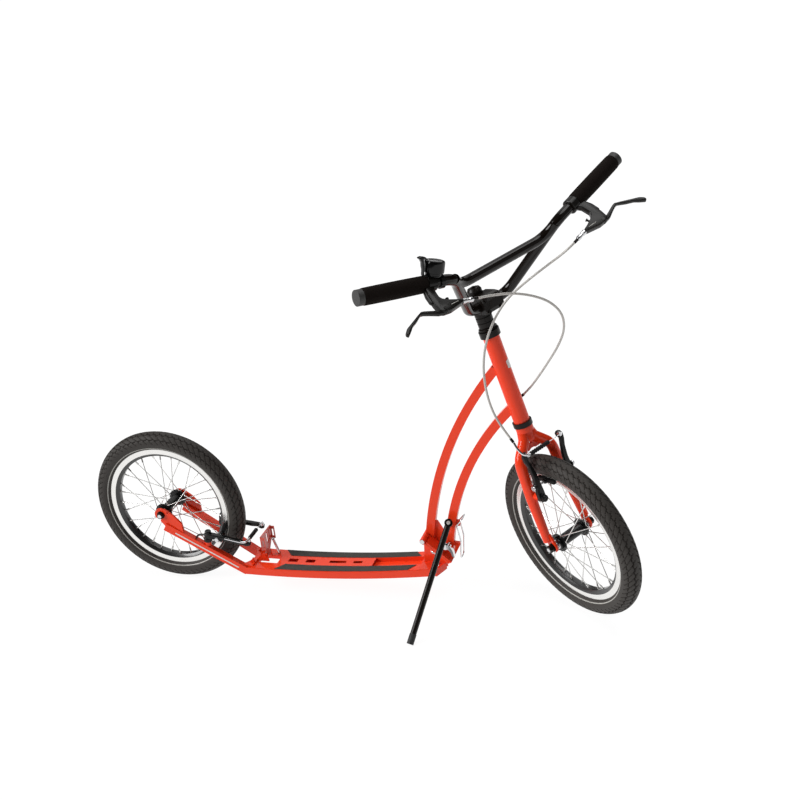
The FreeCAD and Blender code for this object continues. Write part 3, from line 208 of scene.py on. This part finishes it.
STEEL = finish_of("steel", (0.72, 0.72, 0.73), metallic=1.0, rough=(0.22, 0.32))
CHROME = finish_of("chrome", (0.75, 0.75, 0.76), (0.7, 0.7, 0.71), metallic=1.0,
                   rough=(0.06, 0.14))
TAPE = finish_of("grip_tape", (0.035, 0.032, 0.028), (0.065, 0.06, 0.053), rough=(0.9, 1.0),
                 scale=900, bump=0.9, bump_scale=2500)
CABLE = finish_of("cable_silver", (0.5, 0.48, 0.45), (0.42, 0.4, 0.38), rough=(0.25, 0.35),
                  specular=0.4)
BRAKE = finish_of("brake_black", (0.006, 0.006, 0.006), rough=(0.22, 0.32), bump=0.04,
                  specular=0.25)
PAD = finish_of("pad_rubber", (0.008, 0.008, 0.008), rough=(0.6, 0.75), bump=0.2,
                specular=0.25)
BELL = finish_of("bell_black", (0.004, 0.004, 0.004), rough=(0.08, 0.14), specular=0.25)
FOOT = finish_of("foot_grey", (0.02, 0.02, 0.02), rough=(0.6, 0.75), bump=0.15)
CATCH = finish_of("catch_metal", (0.55, 0.03, 0.008), (0.5, 0.03, 0.008), rough=(0.3, 0.4),
                  coat=0.5)
WHITE = finish_of("stripe_white", (0.75, 0.74, 0.72), rough=(0.3, 0.4))

SLOT_FINISHES = {
    "frame_red": RED, "black_gloss": BLACK_GLOSS, "black_satin": BLACK_SATIN,
    "lever_black": LEVER, "foam": FOAM, "plug_grey": PLUG, "tyre_black": RUBBER,
    "tube_rubber": TUBE, "rim_silver": RIM, "spoke_steel": SPOKE, "hub_black": HUB,
    "steel": STEEL, "chrome": CHROME, "grip_tape": TAPE, "cable_silver": CABLE,
    "brake_black": BRAKE, "bell_black": BELL, "foot_grey": FOOT, "catch_metal": CATCH,
    "zinc": STEEL}


def finish_cad_nodes():
    for part in frame["record"]["subparts"]:
        materials = NODES[part["node"]].data.materials
        materials.clear()
        materials.append(SLOT_FINISHES[part["material_slot"]])


# Mesh helpers
def new_piece(name, mesh, materials, place, body):
    for material in materials:
        mesh.materials.append(material)
    mesh.transform(place)
    if place.determinant() < 0:
        mesh.flip_normals()
    piece = bpy.data.objects.new(name, mesh)
    bpy.context.collection.objects.link(piece)
    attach(piece, body)
    return piece


def smooth_edges(mesh, angle=35):
    mesh.shade_smooth()
    mesh.set_sharp_from_angle(angle=math.radians(angle))


def swept(name, rings, closed_loop=False):
    """Mesh over closed rows of points; every row has the same count."""
    mesh = bpy.data.meshes.new(name)
    count = len(rings[0])
    points = [p for ring in rings for p in ring]
    faces = []
    rows = len(rings) if closed_loop else len(rings) - 1
    for row in range(rows):
        below, above = row * count, (row + 1) % len(rings) * count
        for i in range(count):
            j = (i + 1) % count
            faces.append((below + i, below + j, above + j, above + i))
    mesh.from_pydata(points, [], faces)
    return mesh


def lathe(name, profile, steps=48):
    """Closed turned piece: profile of (radius, height) about Z, from axis to axis."""
    rings = []
    for radius, height in profile:
        rings.append([(radius * math.cos(math.tau * k / steps),
                       radius * math.sin(math.tau * k / steps), height)
                      for k in range(steps)])
    mesh = swept(name, rings)
    shape = bmesh.new()
    shape.from_mesh(mesh)
    bmesh.ops.remove_doubles(shape, verts=shape.verts, dist=0.001)
    bmesh.ops.recalc_face_normals(shape, faces=shape.faces)
    shape.to_mesh(mesh)
    shape.free()
    smooth_edges(mesh)
    return mesh


def plate(name, outline, low, high, bevel=1.0, segments=2):
    """Flat piece of an (x, y) outline with rounded edges."""
    shape = bmesh.new()
    base = [shape.verts.new((x, y, low)) for x, y in outline]
    face = shape.faces.new(base)
    top = bmesh.ops.extrude_face_region(shape, geom=[face])
    lifted = [v for v in top["geom"] if isinstance(v, bmesh.types.BMVert)]
    bmesh.ops.translate(shape, verts=lifted, vec=(0, 0, high - low))
    bmesh.ops.recalc_face_normals(shape, faces=shape.faces)
    bmesh.ops.bevel(shape, geom=list(shape.edges), offset=bevel, segments=segments,
                    profile=0.5, affect="EDGES", clamp_overlap=True)
    mesh = bpy.data.meshes.new(name)
    shape.to_mesh(mesh)
    shape.free()
    smooth_edges(mesh, 40)
    return mesh


def towards(start, direction):
    """Matrix that stands Z along a direction at a point."""
    turn = Vector((0, 0, 1)).rotation_difference(Vector(direction))
    return Matrix.Translation(start) @ turn.to_matrix().to_4x4()


def tube(name, points, radius, place, body, material):
    """Round line through a smooth curve of control points."""
    curve = bpy.data.curves.new(name, "CURVE")
    curve.dimensions = "3D"
    curve.bevel_depth = radius / 1000
    curve.bevel_resolution = 4
    curve.resolution_u = 16
    curve.use_fill_caps = True
    spline = curve.splines.new("NURBS")
    spline.points.add(len(points) - 1)
    for control, point in zip(spline.points, points):
        control.co = (place @ Vector(point)).to_4d()
    spline.use_endpoint_u = True
    spline.order_u = 3
    curve.materials.append(material)
    piece = bpy.data.objects.new(name, curve)
    bpy.context.collection.objects.link(piece)
    if body:
        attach(piece, body)
    return piece


def bending_tube(name, points, radius, place, material):
    """Round line as a mesh that no body holds yet, and the points that it follows."""
    line = tube("line", points, radius, place, None, material)
    mesh = bpy.data.meshes.new_from_object(line)
    line.data.bevel_depth = 0
    path = [vertex.co.copy() for vertex in bpy.data.meshes.new_from_object(line).vertices]
    bpy.data.objects.remove(line)
    piece = bpy.data.objects.new(name, mesh)
    bpy.context.collection.objects.link(piece)
    return piece, path


# Tyres
TREAD_PITCHES = 74
TREAD_STEPS = 14
CROWN_STEPS = 48
BEAD_Y = 12.95
SECTION = 22.5
REFLEX_STRIP = 3

# Tread pattern, as shares of the way from the crown to the bead and of one pitch
TREAD_RIB = 0.04
TREAD_EDGE = 0.62
ZIGZAG_LINES = (0.14, 0.4)
ZIGZAG_SWING = 0.1
ZIGZAG_HALF = 0.022
SIPE_SLANT = 4
SIPE_WIDTH = 0.12
SIPE_DEPTH = 0.7


def tread_depth(turn, side):
    """How deep in millimetres the tread is cut at a share of a turn and at a side, which
    runs from -1 at one bead through the crown to 1."""
    width = abs(side)
    along = turn * TREAD_PITCHES + (0.5 if side > 0 else 0)
    bend = abs(along % 1 - 0.5)
    if width < TREAD_RIB or width > TREAD_EDGE:
        return 0.0
    if any(abs(width - line - ZIGZAG_SWING * bend) < ZIGZAG_HALF for line in ZIGZAG_LINES):
        return 1.0
    return SIPE_DEPTH if (along + width * SIPE_SLANT) % 1 < SIPE_WIDTH else 0.0


def add_tyre(end, place):
    centre = TYRE_RADIUS - SECTION
    bead_angle = math.pi - math.asin(BEAD_Y / SECTION)
    inside = [(10.4, 158.7), (10.4, 152.9), (-10.4, 152.9), (-10.4, 158.7)]
    steps = TREAD_PITCHES * TREAD_STEPS
    rings = []
    for step in range(steps):
        turn = step / steps
        spin_cos, spin_sin = math.cos(math.tau * turn), math.sin(math.tau * turn)
        section = []
        for k in range(CROWN_STEPS + 1):
            side = 2 * k / CROWN_STEPS - 1
            radius = SECTION - tread_depth(turn, side)
            angle = side * bead_angle
            section.append((radius * math.sin(angle), centre + radius * math.cos(angle)))
        section += inside
        rings.append([(r * spin_cos, y, r * spin_sin) for y, r in section])
    mesh = swept(f"{end}_tyre_tread", rings, closed_loop=True)
    count = len(rings[0])
    for polygon in mesh.polygons:
        row, strip = divmod(polygon.index, count)
        if strip in (REFLEX_STRIP, CROWN_STEPS - 1 - REFLEX_STRIP):
            polygon.material_index = 1
        elif strip < CROWN_STEPS:
            side = 2 * (strip + 0.5) / CROWN_STEPS - 1
            # Faces cut into the tread take the darker groove rubber, painted shade in the grooves.
            polygon.material_index = 2 if tread_depth((row + 0.5) / steps, side) else 0
    smooth_edges(mesh, 30)
    body = f"{end}_wheel"
    piece = new_piece(f"{end}_tyre_tread", mesh, [RUBBER, REFLEX, SHADED_GROOVE], place, body)
    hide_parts(f"{end}_tyre")


# Rims with a black bed between silver brake tracks
def add_rim(end, place):
    walls = [(158.5, -12.5), (146.2, -12.5), (145.0, -12.0), (138.4, -6.9), (138, -6),
             (138, 6), (138.4, 6.9), (145.0, 12.0), (146.2, 12.5), (158.5, 12.5),
             (158.5, 10.6), (151.7, 10.5), (151.7, -10.5), (158.5, -10.6)]
    silver_strips = (0, 8, 9, 13)
    steps = 180
    rings = []
    for step in range(steps):
        angle = math.tau * step / steps
        rings.append([(r * math.cos(angle), y, r * math.sin(angle)) for r, y in walls])
    mesh = swept(f"{end}_rim_shell", rings, closed_loop=True)
    count = len(walls)
    for polygon in mesh.polygons:
        strip = polygon.index % count
        polygon.material_index = 0 if strip in silver_strips else 1
    smooth_edges(mesh, 25)
    piece = new_piece(f"{end}_rim_shell", mesh, [RIM, RIM_BED], place, f"{end}_wheel")
    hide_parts(f"{end}_rim")


# Grips
def add_grips():
    radius, swell, low, high = 16.6, 0.35, 70, 191
    profile = [(11.2, 63.6), (14.6, 63.6), (15.7, 64.2), (16.3, 66), (radius, low)]
    for k in range(1, 24):
        share = k / 24
        profile.append((radius + swell * math.sin(math.pi * share), low + (high - low) * share))
    profile += [(radius, high), (16.4, 196.5), (15.8, 198.6), (14.8, 199), (11.2, 199), (11.2, 63.6)]
    pieces = []
    for side, label in ((1, "left"), (-1, "right")):
        bend, along = bar_axes(side)[:2]
        place = STEERED @ towards(bend, along)
        pieces.append(new_piece(f"foam_grip_{label}", lathe("grip", profile), [FOAM], place,
                                "steering"))
    for piece in pieces:
        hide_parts("grips")


# Rim brakes
ARM_TIP = 107.0
PAD_AT = 29.0


def hexagon(name, radius, low, high):
    corners = [(radius * math.cos(math.tau * k / 6), radius * math.sin(math.tau * k / 6))
               for k in range(6)]
    return plate(name, corners, low, high, 0.4, 1)


def add_brake_arm(label, place, body, tip_out, pad_in, pad_turn, noodle=None):
    """One brake arm in its pivot frame, with its pad, bolts and, on the cable's side, the
    guide tube, its boot and the bare wire. tip_out, pad_in and pad_turn say how far the arm's
    tip leans out, how far the pad reaches in and how many degrees it turns. noodle is the
    count of the boot's ridges, the bare wire's length and the guide's points."""
    outline = [(-7, -6), (0, -9), (14, -9), (34, -7.5), (60, -5.5), (80, tip_out - 2.5),
               (95, tip_out + 1), (102, tip_out - 4), (109, tip_out - 5), (113, tip_out),
               (112, tip_out + 7), (104, tip_out + 11), (92, tip_out + 10.5), (76, 7),
               (52, 5), (30, 7), (14, 9.5), (0, 9), (-7, 6)]
    parts = []

    def add(name, mesh, material, at=Matrix()):
        piece = new_piece(f"{label}_{name}", mesh, [material], place @ at, body)
        parts.append(piece)

    add("arm", plate("arm", outline, -4.6, 4.6, 1.6, 3), BRAKE)
    barrel = [(0, -5.6), (8.4, -5.6), (9.2, -4.8), (9.2, 5), (8.2, 6), (0, 6)]
    add("barrel", lathe("barrel", barrel), BRAKE)
    head = [(0, 5.8), (7.2, 5.8), (7.8, 7), (7.8, 11.4), (6.6, 12.8), (3, 12.8), (2.4, 12.2),
            (0, 12.2)]
    add("pivot_bolt", lathe("bolt", head, 32), BRAKE)
    stud = towards((PAD_AT, 8 - pad_in, 0), (0, 1, 0))
    add("stud", lathe("stud", [(0, 0), (3, 0), (3, pad_in + 6.5), (0, pad_in + 6.5)], 24),
        STEEL, stud)
    dome = towards((PAD_AT, 6.4, 0), (0, 1, 0))
    add("washer", lathe("washer", [(0, 0), (8, 0), (8, 1.4), (6.6, 3.2), (0, 3.2)]), BRAKE,
        dome)
    add("pad_nut", hexagon("nut", 6.0, 3.2, 8.2), STEEL, dome)
    pad_place = (Matrix.Translation((PAD_AT, -pad_in, 0))
                 @ Matrix.Rotation(math.radians(pad_turn), 4, "Y")
                 @ Matrix.Rotation(math.radians(-90), 4, "X"))
    shoe = [(-3.9, -27), (3.9, -27), (4.3, -20), (4.3, 20), (3.9, 27), (-3.9, 27),
            (-4.3, 20), (-4.3, -20)]
    add("pad", plate("pad", [(x, -y) for x, y in shoe], 0.1, 8.4, 1.0), PAD, pad_place)
    add("holder", lathe("holder", [(0, 7), (6.2, 7), (6.2, 11), (4.6, 13.5), (0, 13.5)], 32),
        BRAKE, pad_place)
    clamp = towards((ARM_TIP, tip_out, 4), (0, 0, 1))
    add("anchor", lathe("anchor", [(0, 0), (5, 0), (5, 6), (4.4, 6.6), (0, 6.6)], 24), STEEL,
        clamp)
    if noodle:
        elbow = Vector((ARM_TIP, tip_out - 5, 10.5))
        ridges, wire, guide = noodle
        parts.append(tube(f"{label}_guide", [elbow, *guide], 2.6, place, body, CHROME))
        pitch = 6
        boot = [(0, 0)]
        for ridge in range(ridges):
            height = ridge * pitch
            boot += [(3.3, height), (4.9, height + 1.6), (4.9, height + 3.6),
                     (3.3, height + 5.4)]
        length = ridges * pitch
        boot += [(2.2, length + 1), (0, length + 1)]
        add("boot", lathe("boot", boot, 32), PAD, towards(elbow, (0, -1, 0)))
        down = [elbow - Vector((0, length + step, 0)) for step in (0, wire / 2, wire)]
        parts.append(tube(f"{label}_wire", down, 0.8, place, body, STEEL))
    return parts


def add_brakes():
    front_noodle = (9, 42, [Vector((ARM_TIP, 20, 10.5)), Vector((ARM_TIP + 34, 14, -8))])
    rear_noodle = (7, 36, [Vector((ARM_TIP, 11, 10.5)), Vector((ARM_TIP - 9, 16, 10.5)),
                       Vector((88, 16, 10.5)), Vector((70, 15.5, 10.7)), Vector((52, 15, 11))])
    for end, frame_of, sizes, noodle in (
            ("front", front_arm_frame, (1, 31.0, -5.6), front_noodle),
            ("rear", rear_arm_frame, (-3, 27.0, 14.7), rear_noodle)):
        for side, label in ((1, "left"), (-1, "right")):
            parts = add_brake_arm(f"{end}_{label}", frame_of(side), f"{end}_arm_{label}",
                                  *sizes, noodle if side < 0 else None)
            for piece in parts:
                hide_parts(f"{end}_brake_arm_{label}")
    sleeve = [(8.05, -17), (9.6, -16.4), (9.9, -15), (9.9, -7), (9.2, -5.9), (8.05, -5.9),
              (8.05, -17)]
    for side, label in ((1, "left"), (-1, "right")):
        new_piece(f"rear_{label}_spring_cover", lathe("sleeve", sleeve), [BRAKE],
                  rear_arm_frame(side), "rear_frame")


# Brake cables
FRONT_CABLE = [(184, 104, 621), (140, 82, 601), (104, 50, 582), (80, 16, 564), (62, -16, 536),
               (46, -45, 497), (32, -63, 450), (22, -71, 400), (17, -72, 350), (18, -66, 308),
               (33.3, -59.9, 266.2)]
REAR_CABLE = [(206, -100, 627), (208, -60, 613), (214, -20, 590), (217, 14, 561),
              (210, 38, 524), (184, 50, 483), (144, 52, 444), (98, 47, 406), (52, 40, 369),
              (16, 34, 342), (-9, 27, 327)]
CABLE_RADIUS = 2.5
BARREL_ENDS = (58.4, 76)


def add_cables():
    """The front cable stays with the steering. The rear one is left as a mesh that no body
    holds, baked into place, with its far ferrule on the front frame."""
    for side, route, node, length in ((1, FRONT_CABLE, "front_brake_cable", 0.53),
                                      (-1, REAR_CABLE, "rear_brake_cable", 0.516)):
        lever = STEERED.inverted() @ lever_frame(side)
        start = [lever @ Vector((-along, 58, 0)) for along in BARREL_ENDS]
        points = start + [Vector(p) for p in route]
        name = f"{node}_housing"
        if side > 0:
            path, far_body = None, "steering"
            piece = tube(name, points, CABLE_RADIUS, STEERED, "steering", CABLE)
        else:
            far_body = "front_frame"
            piece, path = bending_tube(name, points, CABLE_RADIUS, STEERED,
                                       CABLE)
            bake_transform(piece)
        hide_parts(node)
        ends = ((points[0], points[1], "steering"), (points[-1], points[-2], far_body))
        for number, (end, inner, body) in enumerate(ends):
            ferrule = lathe("ferrule", [(0, -0.2), (3.1, -0.2), (3.1, 9), (2.6, 10), (0, 10)], 24)
            cap = new_piece(f"{node}_ferrule_{number}", ferrule, [BLACK_SATIN],
                            STEERED @ towards(end, inner - end), body)
            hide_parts(node)


# Brake levers
def add_levers():
    clamp = [(11.1, -9.4), (15, -9.4), (15.9, -8.4), (15.9, 8.2), (15, 9.2), (11.1, 9.2),
             (11.1, -9.4)]
    body = [(4, 12), (20, 12), (26, 17), (27.5, 28), (27, 55), (23.5, 72), (17.7, 77.5),
            (-1, 75), (-28, 64.5), (-34, 61.5), (-34, 56), (-20, 54), (-4, 50.5), (6, 45.5),
            (9.5, 40), (9.5, 22)]
    web = [(20, 18), (30, 19), (32.5, 31), (32, 48), (26, 54), (22, 40)]
    blade = [(6, 62), (25, 69.2), (33, 68), (54, 64.2), (61, 64), (73, 71.8), (95, 87),
             (106, 94.5), (112, 102), (113, 107), (109, 110.5), (100, 101.5), (92, 92), (78, 82.5),
             (64, 70.6), (58, 70), (43, 73.6), (28, 78), (10, 78), (4, 71)]
    barrel = [(0, 0), (5.2, 0), (5.2, 7), (4.2, 8), (4.2, 15), (5, 15.6), (5, 22), (3.4, 24.4),
              (0, 24.4)]
    screw = [(0, 0), (2.2, 0), (2.2, 5), (3.4, 5.4), (3.4, 7.6), (0, 7.6)]
    mark = [(-22, 59), (-4, 63.5), (-4, 64.8), (-22, 60.3)]
    pivot = [(0, -7.4), (3.6, -7.4), (3.6, 7.4), (2.9, 8), (0, 8)]
    for side, label in ((1, "left"), (-1, "right")):
        place = lever_frame(side)
        blade_piece = new_piece(f"lever_blade_{label}", plate("blade", blade, -4.3, 4.3, 1.6, 3),
                                [LEVER], place, f"brake_lever_{label}")
        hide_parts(f"brake_lever_{label}")
        across = place @ towards((6, 0, 0), (1, 0, 0))
        fixed = ((clamp, None, "clamp", across, LEVER), (None, body, "body", place, LEVER),
                 (None, web, "web", place, LEVER),
                 (barrel, None, "barrel", place @ towards((-33.6, 58, 0), (-1, 0, 0)), STEEL),
                 (pivot, None, "pivot", place @ Matrix.Translation((12, 70, 0)), LEVER),
                 (screw, None, "screw", place @ towards((-6, 51, 0), (-0.2, -1, 0)), LEVER),
                 (None, mark, "mark", place, REFLEX))
        for turned, flat, name, where, finish in fixed:
            half = {"web": 3.6, "mark": 7.0}.get(name, 6.8)
            bevel = 0.2 if name == "mark" else 1.5
            mesh = lathe(name, turned) if turned else plate(name, flat, -half, half, bevel, 3)
            piece = new_piece(f"lever_{name}_{label}", mesh, [finish], where, "steering")
            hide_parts("brake_lever_bodies")


# Bell
def add_bell():
    place = bell_frame()
    cup = [(0, 43.4), (11, 43.4), (12, 44), (17, 44), (18.9, 43.2), (19.8, 41.4), (20, 38),
           (20, 24), (19.4, 21), (17, 20), (17, 21), (18.6, 23), (18.6, 40), (16, 42), (0, 42)]
    base = [(0, 12.5), (12, 12.5), (14.6, 13.4), (16.2, 16), (16.4, 20.6), (0, 20.6)]
    strap = [(11.1, -16), (13.8, -16), (14.5, -15.2), (14.5, -7.2), (13.8, -6.5),
             (11.1, -6.5), (11.1, -16)]
    thumb = [(12, 13.6), (23.4, 13.6), (25, 16), (25.4, 25), (27.4, 31), (29, 39),
             (33, 44.5), (37.5, 47), (37, 49), (31.5, 51), (24.5, 50.5), (21, 48.4),
             (21, 46.6), (24.6, 47), (26.6, 45), (26, 39), (24.2, 31), (23.2, 20),
             (22.6, 15.8), (12, 15.8)]
    dome = place @ Matrix.Translation((6, 0, -1)) @ bell_lean()
    pieces = ((lathe("cup", cup, 64), "bell_dome", dome, "steering", "bell_cup", BELL),
              (lathe("base", base, 48), "bell_base", dome, "steering", "bell_bracket", BELL),
              (lathe("strap", strap, 48), "bell_strap",
               place @ towards((0, 0, 0), (1, 0, 0)), "steering", "bell_bracket", BELL),
              (plate("thumb", thumb, -5, 5, 0.7, 2), "bell_thumb",
               dome @ Matrix.Rotation(math.radians(90), 4, "X"), "bell_lever", "bell_lever",
               BELL))
    for mesh, name, where, body, node, finish in pieces:
        piece = new_piece(name, mesh, [finish], where, body)
        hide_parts(node)


# Kickstand bolt
def add_stand_bolt():
    pivot = (724, -25, 212)
    leg = Vector((-0.21, -0.64, -0.74)).normalized()
    back = Vector((-0.97, -0.2, 0.14)).normalized()
    place = DRAWING @ towards(pivot, leg.cross(back).normalized())
    head = [(0, -11), (3.6, -11), (4.3, -10.2), (4.3, -6.8), (4, -6.8), (4, 6.8), (8.6, 6.8),
            (8.6, 8.4), (7, 8.8), (7, 21), (0, 21)]
    piece = new_piece("stand_bolt", lathe("stand_bolt", head), [CABLE], place, "front_frame")
    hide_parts("kickstand_clamp")


# Headset spacers
def add_spacers():
    low, high, pitch = 500.4, 545.2, 12
    profile = [(14.4, low), (20, low), (21, low + 2), (20, low + 5), (16.5, low + 7)]
    for ring in range(3):
        base = low + 8 + ring * pitch
        profile += [(16.2, base), (18, base + 0.8), (18, base + 9.8), (16.2, base + 10.6)]
    profile += [(16.2, high), (14.4, high), (14.4, low)]
    piece = new_piece("spacer_stack", lathe("spacers", profile, 64), [BLACK_SATIN], STEERED,
                      "steering")
    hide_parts("headset_spacers")


# Plain marks where the object has its printing
def add_marks():
    # The stripe lies on the outside of the right stay, which leans out towards the rear axle
    run_x, run_z = 193, -116.6
    run = math.hypot(run_x, run_z)
    start_x, start_z = 1, 160.3
    stay_end, stay_inner, stay_flare = 197, 46, 11.5
    rings = []
    for along in (30, 90, 150, 206):
        ring = []
        for rise, proud in ((7.5, 0.02), (7.5, 0.22), (10.7, 0.22), (10.7, 0.02)):
            x = start_x + (run_x * along - run_z * rise) / run
            z = start_z + (run_z * along + run_x * rise) / run
            outer = stay_inner + (stay_end - x) * stay_flare / stay_end
            ring.append((x, -(outer + proud), z))
        rings.append(ring)
    new_piece("stay_stripe", swept("stripe", rings), [WHITE], DRAWING, "rear_frame")
    # The badge wraps the front of the head tube and is lower at its ends
    badge_height, steps = 417, 8
    rings = []
    for step in range(steps + 1):
        angle = math.radians(-30 + 60 * step / steps)
        edge = 10.5 - 2.5 * abs(step - steps / 2) / (steps / 2)
        rings.append([(r * math.cos(angle), r * math.sin(angle), badge_height + rise)
                      for r, rise in ((17.9, -edge), (18.25, -edge), (18.25, edge),
                                      (17.9, edge))])
    new_piece("head_badge", swept("badge", rings), [WHITE], HEAD, "front_frame")


# Studio
def add_studio():
    floor_mesh = bpy.data.meshes.new("floor")
    half = 90
    floor_mesh.from_pydata([(-half, -half, 0), (half, -half, 0), (half, half, 0),
                            (-half, half, 0)], [], [(0, 1, 2, 3)])
    pale = finish_of("floor", (0.12, 0.12, 0.12), (0.115, 0.115, 0.115), rough=(0.8, 0.9),
                     scale=3, specular=0.0)
    shader = pale.node_tree.nodes["Principled BSDF"]
    shader.inputs["Emission Color"].default_value = (1, 1, 1, 1)
    shader.inputs["Emission Strength"].default_value = 0.93
    floor_mesh.materials.append(pale)
    floor = bpy.data.objects.new("floor", floor_mesh)
    floor.location = (0, 0, -0.0005)
    bpy.context.collection.objects.link(floor)
    world = bpy.data.worlds.new("studio")
    world.use_nodes = True
    nodes, links = world.node_tree.nodes, world.node_tree.links
    place = nodes.new("ShaderNodeTexCoord")
    facing = nodes.new("ShaderNodeVectorMath")
    facing.operation = "DOT_PRODUCT"
    facing.inputs[1].default_value = (-0.45, 0.1, 0.88)
    links.new(place.outputs["Generated"], facing.inputs[0])
    sweep = nodes.new("ShaderNodeMapRange")
    sweep.interpolation_type = "SMOOTHSTEP"
    sweep.inputs["From Min"].default_value = -0.1
    sweep.inputs["From Max"].default_value = 0.85
    sweep.inputs["To Min"].default_value = 0.02
    sweep.inputs["To Max"].default_value = 1.0
    links.new(facing.outputs["Value"], sweep.inputs["Value"])
    height = nodes.new("ShaderNodeSeparateXYZ")
    links.new(place.outputs["Generated"], height.inputs["Vector"])
    horizon = nodes.new("ShaderNodeMapRange")
    horizon.interpolation_type = "SMOOTHSTEP"
    horizon.inputs["From Min"].default_value = 0.1
    horizon.inputs["From Max"].default_value = 0.3
    horizon.inputs["To Min"].default_value = 1.0
    horizon.inputs["To Max"].default_value = 0.0
    links.new(height.outputs["Z"], horizon.inputs["Value"])
    brighter = nodes.new("ShaderNodeMath")
    brighter.operation = "MAXIMUM"
    links.new(sweep.outputs["Result"], brighter.inputs[0])
    links.new(horizon.outputs["Result"], brighter.inputs[1])
    links.new(brighter.outputs["Value"], nodes["Background"].inputs["Strength"])
    bpy.context.scene.world = world
    lights = (("key", (-1.35, -0.8, 0.9), 34, 2.7), ("top", (0.15, 0.1, 1.0), 40, 1.3),
              ("fill", (1.4, -0.3, 0.7), 50, 0.1), ("back", (-0.2, 1.2, 1.3), 60, 0.7))
    for name, direction, spread, power in lights:
        data = bpy.data.lights.new(name, "SUN")
        data.angle = math.radians(spread)
        data.energy = power
        light = bpy.data.objects.new(name, data)
        light.matrix_world = towards((0, 0, 4), direction)
        bpy.context.collection.objects.link(light)
    bpy.context.scene.view_settings.view_transform = "Standard"


add_camera()
add_cables()
finish_cad_nodes()
add_tyre("rear", REAR_WHEEL)
add_tyre("front", FRONT_WHEEL)
add_rim("rear", REAR_WHEEL)
add_rim("front", FRONT_WHEEL)
add_grips()
add_brakes()
add_levers()
add_bell()
add_stand_bolt()
add_spacers()
add_marks()
add_studio()
